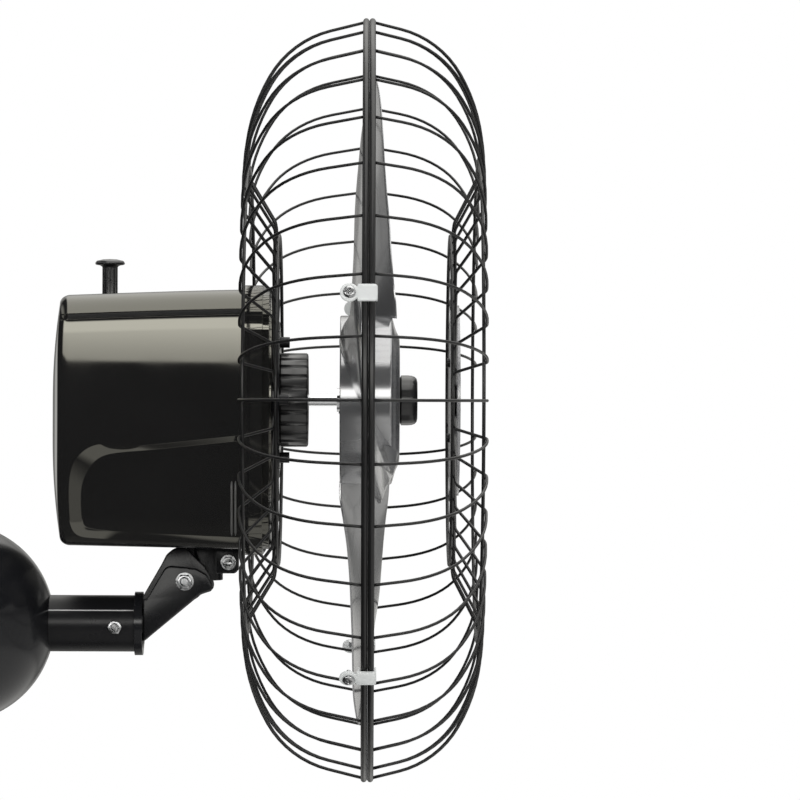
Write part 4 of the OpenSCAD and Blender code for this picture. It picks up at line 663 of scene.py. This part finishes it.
EDGE_TURN = 16  # degrees already turned where the rounded back edge starts
BACK_STEPS = (0.97, 0.93, 0.88, 0.82, 0.75, 0.67, 0.58, 0.48, 0.38, 0.28, 0.18, 0.08, 0.0)


def crown(x, z, inset=0.0):
    """Distance out of the crowned back at (x, z)."""
    return BACK + inset + SHOULDER * ((abs(x) / HX) ** 5 + (abs(z) / (HZ - 3)) ** 5) ** 0.4


def back_rows(s_list, start, inset, first_deep=None):
    """Rows from the crease over the rounded edge to the middle of the crowned back, near half."""
    rows = []
    a0 = radians(EDGE_TURN)
    loop = [(section(start, s, inset), section_normal(start, s, inset)) for s in s_list]
    for k in range(9):
        a = a0 + (pi / 2 - a0) * k / 8
        side_in = SIDE_TURN * (cos(a0) - cos(a)) / cos(a0)
        rise = (sin(a) - sin(a0)) / (1 - sin(a0))
        row = []
        for i, (p, n) in enumerate(loop):
            lip = p - n * SIDE_TURN
            q = p - n * side_in
            if first_deep and k < 8:
                q -= n * first_deep[i] * (1 - k / 8)
            row.append(Vector((q.x, q.y, start + (crown(lip.x, lip.y, inset) - start) * rise)))
        rows.append(row)
    lip = rows[-1]
    for f in BACK_STEPS:
        rows.append([Vector((q.x * f, q.y * f, crown(q.x * f, q.y * f, inset))) for q in lip])
    return rows


crease_deep = upper_d + [0.0] * (len(crease_s) - len(upper_d))
back = back_rows(crease_s, CREASE, 0.0, crease_deep)
inner = []
for k in range(25):
    out = FRONT_OUT + (CREASE + INSET - FRONT_OUT) * k / 24
    inner.append([Vector((*section(out, s, INSET), out)) for s in mouth_s])
inner += back_rows(mouth_s, CREASE + INSET, INSET)[1:]


def placed(rows, side):
    """Rows of (x, z, out) put on the fan, near side 1 or far side -1."""
    return [[arm(side * q.x, RISE + q.y, q.z) for q in r] for r in rows]


shell = Build()
for side in (1, -1):
    for block in (upper, rings, patch, lower, back):
        shell.grid(placed(block, side), close_v=False)
    shell.grid(placed(inner, side), close_v=False)
    edge = [r[0] for r in upper] + [r[0] for r in rings[1:]] + [r[0] for r in patch[1:]]
    edge += [r[-1] for r in rings[::-1][1:]] + [r[0] for r in lower[1:]]
    shell.grid(placed([edge, inner[0]], side), close_v=False)
housing = piece("housing_shell", shell, "head", "housing_plastic", ["rear_housing"], weld=2e-5)


def boolean(target, build, operation):
    """Join the closed form to the target's mesh or cut it out."""
    tool = bpy.data.objects.new("cutter", clean_mesh("cutter", build.v, build.f))
    scene.collection.objects.link(tool)
    mod = target.modifiers.new("cut", "BOOLEAN")
    mod.operation = operation
    mod.object = tool
    mod.solver = "EXACT"
    bpy.context.view_layer.update()
    deps = bpy.context.evaluated_depsgraph_get()
    fresh = bpy.data.meshes.new_from_object(target.evaluated_get(deps))
    target.modifiers.remove(mod)
    target.data = fresh
    bpy.data.objects.remove(tool)


def upright_at(x0, out):
    """Local axis upwards: x across, y towards the wall, h up from the arm axis."""
    return lambda x, y, h: Vector((x0 + x, y - out, h)) * MM


POST, KNOB = upright_at(0, SWING_OUT), upright_at(KNOB_X, KNOB_OUT)

# Floor round the swing post: a boss inside, space for the link over it, a recess under it, and the post's bore
for r, low, high, steps, operation in (
    (35.5, 66.5, 75.0, 64, "UNION"),
    (36.5, 74.0, 90.0, 96, "DIFFERENCE"),
    (33, 60, 69.4, 96, "DIFFERENCE"),
    (9.6, 60, 90, 64, "DIFFERENCE"),
):
    turned = Build()
    turned.lathe([(r, low), (r, high)], POST, steps)
    boolean(housing, turned, operation)
# The lever pin's arc slot, and the knob's oval hole
arc = [radians(-62 + 124 * k / 32) for k in range(33)]
loop = [(19.0 * cos(a), 19.0 * sin(a)) for a in arc]
loop += [(12.2 * cos(a), 12.2 * sin(a)) for a in arc[::-1]]
oval = circle(lambda x, y, h: (x, y + copysign(4.0, y)), 8.5, 0, 64)
for outline, place, low, high in ((loop, POST, 60, 90), (oval, KNOB, 262, 300)):
    hole = Build()
    hole.grid([[place(x, y, h) for x, y in outline] for h in (low, high)], caps=True)
    boolean(housing, hole, "DIFFERENCE")
for p in housing.data.polygons:
    p.use_smooth = True
housing.data.set_sharp_from_angle(angle=radians(32))

# Dark strip in the groove, a matte near-black painted shade for the dark reflected band along the glossy side: (step
# along the outline, depth) of its section
SECTION = [(-1.95, GROOVE_DEEP + 0.5), (-1.95, 0.35), (-1.6, 0.2), (1.6, 0.2), (1.95, 0.35), (1.95, GROOVE_DEEP + 0.5)]
STRIP_BACK, STRIP_FRONT = 0.6, 0.3  # its ends, in from the crease and from the front
strip = Build()
for side in (1, -1):
    rows = []
    for i in range(61):
        out = CREASE + STRIP_BACK + (FRONT_OUT - STRIP_FRONT - CREASE - STRIP_BACK) * i / 60
        rows.append([skin(out, groove + ds, deep) for ds, deep in SECTION])
    strip.grid(placed(rows, side), caps=True)
piece("housing_groove_strip", strip, "head", "black_plastic", sharp=40, finish="groove_strip")

# Two upright grip ribs in each pocket, with a domed crest and lowered ends; their lighter grey colour is a painted
# highlight
RIB_OUTS, RIB_SHIFT, RIB_MID, RIB_HALF, RIB_WIDE, RIB_DOME = (242.0, 245.2), 0.8, 99.4, 23.6, 1.15, 1.2
ribs = Build()
for side in (1, -1):
    for rib_out in RIB_OUTS:
        rows = []
        for i in range(17):
            share = i / 16
            s = side_s(rib_out, RIB_MID - RISE + RIB_HALF - 2 * RIB_HALF * share)
            p, n = section(rib_out, s), section_normal(rib_out, s)
            full = 1 - abs(2 * share - 1) ** 14
            w = RIB_WIDE * (0.45 + 0.55 * full)
            foot, crest = p - n * (POCKET_DEEP + 2), p - n * (POCKET_DEEP - 0.6 - 1.5 * full)
            turns = [radians(-90 + 180 * j / 10) for j in range(11)]
            dome = [(crest - n * (RIB_DOME * (1 - cos(t))), sin(t)) for t in turns]
            line = [(foot, -1), *dome, (foot, 1)]
            rows.append([arm(side * q.x, RISE + q.y, rib_out + RIB_SHIFT + d * w) for q, d in line])
        ribs.grid(rows, caps=True)
piece("housing_ribs", ribs, "head", "housing_plastic", sharp=40, finish="rib_worn")

# ---------- fasteners


HEX_STEPS = 48
STUD_END = ((1.12, 0), (1.0, -0.5), (1.0, 0.9), (0.82, 1.5), (0.3, 1.55))  # share of its radius, rise over the nut


def hexagon(corner):
    """Radius of a hexagon by angle."""
    return lambda a: corner * cos(pi / 6) / cos((a % (pi / 3)) - pi / 6)


def hex_end(build, place, r, base, thick, stud=0.0, socket=0.0, washer=None):
    """Hex head or nut on a local axis: corner radius r, chamfered, an optional stud end, socket and washer."""
    if washer:
        wr, wt = washer
        disc = [(r * 0.4, base), (wr, base), (wr, base + wt), (r * 0.4, base + wt)]
        build.lathe(rounded(disc, 0.35), place, 64, close=True)
        base += wt
    flat, low, top = hexagon(r), r * 0.12, base + thick

    def ring(radius, h):
        return circle(place, radius, h, HEX_STEPS)

    def worn(share, h):
        return ring(lambda a: min(flat(a), r * 0.9) * share, h)

    rows = [worn(0.94, base), ring(flat, base + low * 0.6), ring(flat, top - low)]
    rows += [worn(0.97, top - low * 0.35), worn(0.88, top)]
    if socket:
        rows += [ring(socket * 1.35, top), ring(socket * 1.2, top - 0.25), ring(hexagon(socket), top - 0.5)]
        rows += [ring(hexagon(socket), base + thick * 0.45), ring(socket * 0.3, base + thick * 0.3)]
    elif stud:
        rows += [ring(stud * share, top + rise) for share, rise in STUD_END]
    build.grid(rows, caps=True)


def cross(y, out, side):
    """Local axis along x at an arm-frame point, pointing to side."""
    return lambda u, v, h: arm(side * h, y + v, out + side * u)


# The yoke: side outlines (out, y) of its ears, the raised pads on them and the bridge, and the sleeve in the tube
YOKE = [
    (165.1, 23.1), (181.2, 51.0), (185.5, 59.5), (189.0, 62.6), (193.9, 64.8), (199.4, 66.0), (204.9, 63.0),
    (211.0, 56.6), (218.1, 49.8), (222.2, 42.5), (224.9, 32.8), (223.7, 28.5), (218.1, 26.8), (214.0, 25.2),
    (167.0, -14.0), (165.1, -14.0)]
PAD = [
    (166.2, 21.5), (169.0, 21.5), (184.4, 47.6), (188.4, 49.6), (203.0, 48.4), (211.0, 47.2), (219.6, 42.4),
    (223.9, 33.6), (223.0, 29.4), (218.0, 27.7), (213.6, 26.2), (168.0, -12.6), (166.2, -12.6)]
CORNER = 1.6  # how far the corners of a plate's outline are cut back


def plate(build, outline, x0, x1, bevel, steps=3):
    """Flat plate with softened corners and edges, between two places across."""
    pts = [Vector(p) for p in outline]
    soft = []
    for a, b, c in zip(pts[-1:] + pts, pts, pts[1:] + pts[:1]):
        cut = min(CORNER, (a - b).length * 0.4, (c - b).length * 0.4)
        soft += bend(a, b, c, cut, 3)
    n = len(soft)
    area = sum(soft[i - 1].x * soft[i].y - soft[i].x * soft[i - 1].y for i in range(n))
    turn = 1 if area > 0 else -1

    def ring(x, inward):
        row = []
        for i in range(n):
            d = (soft[(i + 1) % n] - soft[i - 1]).normalized()
            q = soft[i] + Vector((-d.y, d.x)) * turn * inward
            row.append(arm(x, q.y, q.x))
        return row

    way = 1 if x1 > x0 else -1
    rows = [ring(x0, 0)]
    for k in range(steps + 1):
        a = pi / 2 * k / steps
        rows.append(ring(x1 - way * bevel * (1 - sin(a)), bevel * (1 - cos(a))))
    build.grid(rows, caps=True)


BRIDGE = [(165.1, 22.4), (178.0, 22.4), (178.0, -4.6), (168.0, -13.4), (165.1, -13.4)]
SLEEVE = [(17.9, 112.0), (20.9, 112.0), (20.9, 165.6), (17.9, 165.6)]
yoke = Build()
for side in (-1, 1):
    plate(yoke, YOKE, side * 14.0, side * 20.4, 1.3)
    plate(yoke, PAD, side * 19.5, side * 23.0, 0.9)
plate(yoke, BRIDGE, -16.0, 16.0, 0.6)
yoke.lathe(rounded(SLEEVE, 0.5), arm, 72, close=True)
piece("yoke_casting", yoke, "wall_bracket", "black_casting", ["yoke"], sharp=32, weld=0)

SEAM_TURN = radians(29.8)  # the tube's seam, up from the near side's middle
# A fine raised bead along the tube; its light grey colour is a painted highlight
seam = Build()
seam_outs = (8.0, 40.0, 90.0, 140.0, 157.9)
seam_x, seam_y = -TUBE_R * cos(SEAM_TURN), TUBE_R * sin(SEAM_TURN)
seam.sweep([arm(seam_x, seam_y, o) for o in seam_outs], 0.55 * MM, 12)
piece("arm_tube_seam", seam, "wall_bracket", "black_paint", weld=0, finish="seam_worn")

# Tilting knuckle: boss round the swing post, tongue round the pivot, and a split clamp lug
BOSS = [(10.0, 37.2), (15.7, 37.2), (15.7, 66.3), (10.0, 66.3)]
TONGUE = [(5.6, -15.6), (17.6, -15.6), (17.6, 15.6), (5.6, 15.6)]
WEB = [(196.4, 50.0), (204.0, 38.0), (208.4, 37.4), (208.4, 66.3), (203.5, 66.3), (198.2, 58.5)]
LUG = [(224.0, 66.3), (246.2, 66.3), (246.2, 46.0), (243.4, 43.2), (227.5, 43.2), (224.0, 46.4)]
knuckle = Build()
knuckle.lathe(rounded(BOSS, 0.9), POST, 96, close=True)
knuckle.lathe(rounded(TONGUE, 1.4), lambda u, v, h: arm(h, PIVOT_Y + v, PIVOT_OUT + u), 96, close=True)
plate(knuckle, WEB, -15.3, 15.3, 0.9)
for side in (-1, 1):
    plate(knuckle, LUG, side * 1.5, side * 12.0, 1.2)
piece("tilt_knuckle_casting", knuckle, "tilt_knuckle", "black_casting", ["knuckle"], sharp=32, weld=0)


def cross_bolt(name, replaced, body, y, out, r, length, hex_r, base, thick, **ends):
    """Bolt across the fan, length to each side; its hex ends, thick from base on, have the corner radius hex_r."""
    bolt = Build()
    bolt.lathe([(r, -length), (r, length)], cross(y, out, 1), 32)
    for side in (-1, 1):
        hex_end(bolt, cross(y, out, side), hex_r, base, thick, **ends)
    piece(name, bolt, body, "zinc_steel", [replaced], sharp=30)


cross_bolt("arm_bolt_hex", "arm_bolt", "wall_bracket", -2.0, 142.0, 3.0, 24, 6.3, 24.05, 2.9, stud=3.0)
cross_bolt(
    "pivot_bolt_hex", "pivot_bolt", "wall_bracket", PIVOT_Y, PIVOT_OUT, 5.0, 24, 6.7, 23.05, 4.4,
    stud=3.6, washer=(7.7, 1.3))
cross_bolt(
    "lug_bolt_hex", "lug_bolt", "tilt_knuckle", 52.7, 237.7, 3.0, 12, 5.5, 12.05, 3.2,
    socket=2.5, washer=(6.6, 0.9))

# Guard clips: a rounded ear under the screw, a strap across both rims and a short hook at its end
CLIP_ANGLES = (165, 223, 15, -43)
EAR, EAR_R = 15, 7.5  # the screw's distance behind the rim plane, and the ear's radius


def clip_frame(angle, shift=0):
    """Local axes of a clip: u along the rim, v out from the wall, h away from the fan axis."""
    ca, sa = cos(radians(angle)), sin(radians(angle))
    return lambda u, v, h: head(h * ca - u * sa, h * sa + u * ca, RIM + shift + v)


ear = [radians(52 - 284 * j / 30) for j in range(31)]
outline = [(EAR_R * cos(t), -EAR + EAR_R * sin(t)) for t in ear]
outline += [
    (-7.0, -8.4), (-7.0, -4.0), (-7.0, 2.0), (-6.9, 5.2), (-6.1, 6.6), (-4.2, 7.1), (0.0, 7.2),
    (4.2, 7.1), (6.1, 6.6), (6.9, 5.2), (7.0, 2.0), (7.0, -4.0), (7.0, -8.4)]
mid = Vector((0.0, -5.0))
clips = Build()
for angle in CLIP_ANGLES:
    at = clip_frame(angle)
    rows = []
    for h, inward in ((324.6, 0.7), (324.9, 0.15), (325.4, 0.0), (326.6, 0.0), (327.2, 0.25), (327.5, 0.8)):
        row = []
        for i, p in enumerate(outline):
            d = (Vector(outline[(i + 1) % len(outline)]) - Vector(outline[i - 1])).normalized()
            m = Vector((-d.y, d.x))
            if m.dot(mid - Vector(p)) < 0:
                m = -m
            q = Vector(p) + m * inward
            row.append(at(q.x, q.y, h))
        rows.append(row)
    clips.grid(rows, caps=True)
    for v0, v1 in ((5.6, 7.1), (-7.6, -6.1)):
        rows = []
        for h, w, e in ((326.6, 5.4, 0.0), (320.2, 5.4, 0.0), (319.0, 5.0, 0.15), (318.4, 4.4, 0.45)):
            ring = [(-w, v0 + e), (w, v0 + e), (w + 0.3, (v0 + v1) / 2)]
            ring += [(w, v1 - e), (-w, v1 - e), (-w - 0.3, (v0 + v1) / 2)]
            rows.append([at(u, v, h) for u, v in ring])
        clips.grid(rows, caps=True)
piece("guard_clip_straps", clips, "head", "clip_plastic", ["guard_clips"], sharp=40, weld=0)


CROSS_HALF, CROSS_R, CROSS_DEEP, CROSS_FADE = 0.55, 2.9, 1.9, 3.3  # the recess in a screw's head


def recess(r, a):
    """Depth of the cross recess at radius r and angle a."""
    inside = min(abs(r * cos(a)), abs(r * sin(a))) < CROSS_HALF and r < CROSS_R
    return CROSS_DEEP * max(0.0, 1 - (r / CROSS_FADE) ** 2) if inside else 0.0


# Pan screws of the guard clips: shank and the head's edge, then its top with the cross recess
SHANK = ((1.9, -9), (1.9, 0), (4.7, 0), (5.0, 0.35))
PAN = (
    (4.95, 1.0), (4.7, 1.6), (4.3, 2.05), (3.8, 2.35), (3.2, 2.6), (2.9, 2.66), (2.5, 2.7),
    (2.1, 2.74), (1.7, 2.76), (1.3, 2.78), (0.9, 2.8), (0.5, 2.8), (0.15, 2.8))
base = RIM_R + RIM_WIRE + 0.1 + 3.0 + 0.05
screws = Build()
for angle in CLIP_ANGLES:
    at = clip_frame(angle, -EAR)
    rows = [circle(at, r, base + h, 96) for r, h in SHANK]
    rows += [circle(at, r, lambda a: base + h - recess(r, a), 96) for r, h in PAN]
    screws.grid(rows, caps=True)
piece("clip_pan_screws", screws, "head", "zinc_steel", ["clip_screws"], sharp=50)

# ---------- switch knob, nuts


def ring_piece(name, rings, place, steps, body, replaced, sharp, close=False):
    """Piece of black plastic from rings (radius by angle, height), capped or closed into a loop."""
    build = Build()
    rows = [circle(place, r, h, steps) for r, h in rings]
    build.grid(rows, close_u=close, caps=not close)
    piece(name, build, body, "black_plastic", [replaced], sharp=sharp)


def fluted(r, h):
    """Radius of the knob by angle, with eight flutes below its cap."""
    return lambda a: r - (0.55 * max(0.0, cos(8 * a)) ** 3 if h < 304 and r > 5 else 0.0)


def lobed(share):
    """Radius of the blade nut by angle, with twelve shallow hollows at its widest."""
    return lambda a: 21.3 * share * (1 - 0.012 * (0.5 - 0.5 * cos(12 * a)) ** 3 * (1 if share > 0.8 else 0))


def grooved(r, rib):
    """Radius of the guard nut by angle, with 24 narrow grooves where rib is 1."""
    return lambda a: r - 1.3 * (1 - min((0.5 - 0.5 * cos(24 * a)) * 4.0, 1.0)) * rib


KNOB_CAP = [
    (2.5, 262.0), (6.7, 262.0), (6.7, 304.2), (8.4, 305.4), (12.2, 306.0), (12.85, 307.2), (11.6, 309.3),
    (6.0, 310.6), (0.4, 310.9)]
knob_rings = [(fluted(r, h), h) for r, h in rounded(KNOB_CAP, 0.8)]
ring_piece("switch_knob_cap", knob_rings, KNOB, 96, "knob", "switch_knob", 45)
BLADE_NUT = (
    (0.55, 382.75), (0.9, 382.75), (1.0, 384.2), (1.0, 389.5), (0.985, 393.2), (0.94, 395.6), (0.86, 397.2),
    (0.74, 397.85), (0.3, 397.95), (0.05, 397.95))
ring_piece("blade_nut_cap", [(lobed(r), h) for r, h in BLADE_NUT], head, 144, "rotor", "blade_nut", 50)
GUARD_NUT = (
    (26.3, 281.3, 0), (39.2, 281.3, 1), (40.0, 282.2, 1), (40.0, 303.4, 1), (39.2, 304.6, 1), (37.6, 305.0, 0),
    (30.0, 305.0, 0), (28.5, 304.4, 0), (9.6, 304.4, 0), (9.0, 303.9, 0), (9.0, 301.0, 0), (26.2, 301.0, 0))
nut_rings = [(grooved(r, rib), h) for r, h, rib in GUARD_NUT]
ring_piece("guard_lock_nut", nut_rings, head, 480, "head", "guard_nut", 40, close=True)

# ---------- camera, light, floor

CAMERA_AT, CAMERA_ROLL = Vector((-3.9, -0.356, 0.191)), -0.2
cam_data = bpy.data.cameras.new("photo_camera")
cam_data.sensor_width = 36.0
cam_data.lens = 206.0
cam_data.shift_x = 0.0397
cam_data.clip_end = 60.0
cam = bpy.data.objects.new("photo_camera", cam_data)
scene.collection.objects.link(cam)
forward, up = Vector((1, 0, 0)), Vector((0, 0, 1))
turn = Matrix((forward.cross(up), up, -forward)).transposed()
roll = Matrix.Rotation(radians(CAMERA_ROLL), 3, forward)
cam.matrix_world = Matrix.Translation(CAMERA_AT) @ (roll @ turn).to_4x4()
scene.camera = cam

# The camera and clear pieces see white; diffuse rays get a plain light; glossy rays see soft panels by direction
world = bpy.data.worlds.new("studio")
scene.world = world
t = bare_tree(world)
direction = add(t, "ShaderNodeTexCoord").outputs["Generated"]
split = add(t, "ShaderNodeSeparateXYZ", Vector=direction)
X, Y, Z = (split.outputs[axis] for axis in "XYZ")


def band(source, low, high, lo_value, hi_value):
    """Smooth step of a direction's X, Y or Z, from lo_value to hi_value."""
    m = add(t, "ShaderNodeMapRange", Value=source, From_Min=low, From_Max=high, To_Min=lo_value, To_Max=hi_value)
    m.interpolation_type = "SMOOTHSTEP"
    return m.outputs["Result"]


def panel(*bands):
    """Product of the bands (axis, low, high, value at low, value at high)."""
    return combine(t, "MULTIPLY", *[band(*b) for b in bands])


# The tall soft panel behind the camera, brighter upwards
key = panel(
    (Z, 0.0567, 0.0602, 0.0, 1.0), (Z, 0.055, 0.115, 2.9, 5.6), (Z, 0.235, 0.28, 1.0, 0.0), (X, -0.5, -0.7, 0.0, 1.0))
front_panel = panel((Y, -0.55, -0.8, 0.0, 1.0), (Z, 0.15, 0.25, 0.0, 1.0), (Z, 0.75, 0.85, 0.8, 0.0))
back_panel = panel((Y, 0.6, 0.8, 0.0, 1.0), (Z, 0.42, 0.5, 0.0, 1.0), (Z, 0.8, 0.9, 1.2, 0.0))
OVER_HEAD = (Y, 0.25, 0.4, 1.0, 0.0)
shoulder = panel(OVER_HEAD, (X, 0.25, 0.05, 0.0, 2.6), (Z, 0.731, 0.757, 0.0, 1.0))
beyond = panel(OVER_HEAD, (X, -0.1, 0.05, 0.0, 1.0), (Z, 0.1, 1.0, 0.1, 2.6))
backdrop = panel((Y, -0.06, 0.02, 1.0, 0.0), (X, 0.5, 0.65, 0.0, 0.5), (Y, -0.22, -0.3, 1.0, 0.08))
# Narrow strips that give the blades their streaks
fore_strip = panel((X, 0.92, 0.97, 0.0, 0.7), (Y, -0.09, -0.13, 0.0, 1.0), (Y, -0.18, -0.22, 1.0, 0.0))
strips = combine(
    t, "MAXIMUM",
    panel((Y, 0.46, 0.52, 0.0, 0.34), (Y, 0.72, 0.8, 1.0, 0.2)),
    panel((Y, 0.2, 0.26, 0.0, 0.62), (Y, 0.46, 0.56, 1.0, 0.4)),
    panel((Y, 0.04, 0.08, 0.0, 0.3), (Y, 0.11, 0.16, 1.0, 0.7)))
aft_strips = combine(t, "MULTIPLY", band(X, 0.55, 0.7, 0.0, 1.0), strips)
# The ground, a faint glow everywhere, and the band at the skyline
ground = panel((Z, -0.28, -0.42, 0.0, 0.9), (Z, -0.955, -0.985, 1.0, 0.1), (Y, 0.03, 0.045, 1.0, 0.0))
glow = band(Z, 0.0, -1.0, 0.035, 0.06)
skyline = panel(
    (Y, -0.2, -0.5, 0.0, 1.0), (Z, 0.25, 0.05, 0.0, 0.55), (Z, -0.46, -0.3, 0.0, 1.0), (X, 0.97, 0.9, 0.0, 1.0))
level = combine(
    t, "MAXIMUM", key, front_panel, back_panel, shoulder, beyond, backdrop, fore_strip, aft_strips, ground, glow,
    skyline)


def background(colour, strength):
    """Background shader of a colour and strength."""
    return add(t, "ShaderNodeBackground", Color=(*colour, 1), Strength=strength).outputs["Background"]


rays = add(t, "ShaderNodeLightPath").outputs
plain, mirror = background((0.97, 0.98, 1.0), 0.66), background((1.0, 0.99, 0.955), level)
light = mix_shader(t, rays["Is Glossy Ray"], plain, mirror)
clear = combine(t, "MAXIMUM", rays["Is Camera Ray"], rays["Is Transmission Ray"])
add(t, "ShaderNodeOutputWorld", Surface=mix_shader(t, clear, light, background((1, 1, 1), 1.0)))


def softbox(name, centre, aim, width, height, radiance, colour):
    """Rectangular lamp facing aim, of a given radiance, unseen by the camera and by the gloss."""
    data = bpy.data.lights.new(name, "AREA")
    data.shape = "RECTANGLE"
    data.size = width
    data.size_y = height
    data.energy = radiance * pi * width * height
    data.color = colour
    obj = bpy.data.objects.new(name, data)
    scene.collection.objects.link(obj)
    z = (Vector(centre) - Vector(aim)).normalized()
    x = Vector((0, 0, 1)).cross(z).normalized()
    y = z.cross(x)
    obj.matrix_world = Matrix.Translation(Vector(centre)) @ Matrix((x, y, z)).transposed().to_4x4()
    obj.visible_camera = False
    obj.visible_glossy = False


# Lamps: the key panel behind the camera starts just above its height
KEY_OUT, KEY_FOOT = 4.6, 0.20
key_low, key_high = (KEY_FOOT + KEY_OUT * tan(radians(a)) for a in (3.4, 41))
key_mid = (key_low + key_high) / 2
key_size = (4.4, key_high - key_low)
softbox("key_panel", (-KEY_OUT, -0.25, key_mid), (0, -0.25, key_mid), *key_size, 2.3, (1.0, 0.985, 0.95))
softbox("top_panel", (0.4, -0.3, 3.2), (0.1, -0.3, 0), 2.4, 2.4, 2.2, (1.0, 0.99, 0.97))

# Studio floor; it gives the camera mostly a white emission, so that it joins the background
FLOOR_Z, FLOOR_HALF, FLOOR_GLOW = -0.95, 6.0, 0.85
floor_mesh = bpy.data.meshes.new("studio_floor")
bm = bmesh.new()
bmesh.ops.create_grid(bm, x_segments=8, y_segments=8, size=FLOOR_HALF)
for v in bm.verts:
    v.co.z = FLOOR_Z
bm.to_mesh(floor_mesh)
bm.free()
floor = bpy.data.objects.new("studio_floor", floor_mesh)
scene.collection.objects.link(floor)
floor_mat = material("floor_paint", (0.82, 0.82, 0.81), 0.7, bump=0.2, grain=60, tone=0.01, spread=0.05)
ft = floor_mat.node_tree
floor_out = next(n for n in ft.nodes if n.type == "OUTPUT_MATERIAL")
floor_bsdf = next(n for n in ft.nodes if n.type == "BSDF_PRINCIPLED")
pale = add(ft, "ShaderNodeEmission", Color=(1.0, 1.0, 0.995, 1)).outputs["Emission"]
glowing = combine(ft, "MULTIPLY", add(ft, "ShaderNodeLightPath").outputs["Is Camera Ray"], FLOOR_GLOW)
feed(ft, mix_shader(ft, glowing, floor_bsdf.outputs["BSDF"], pale), floor_out.inputs["Surface"])
floor_mesh.materials.append(floor_mat)
floor.visible_glossy = False
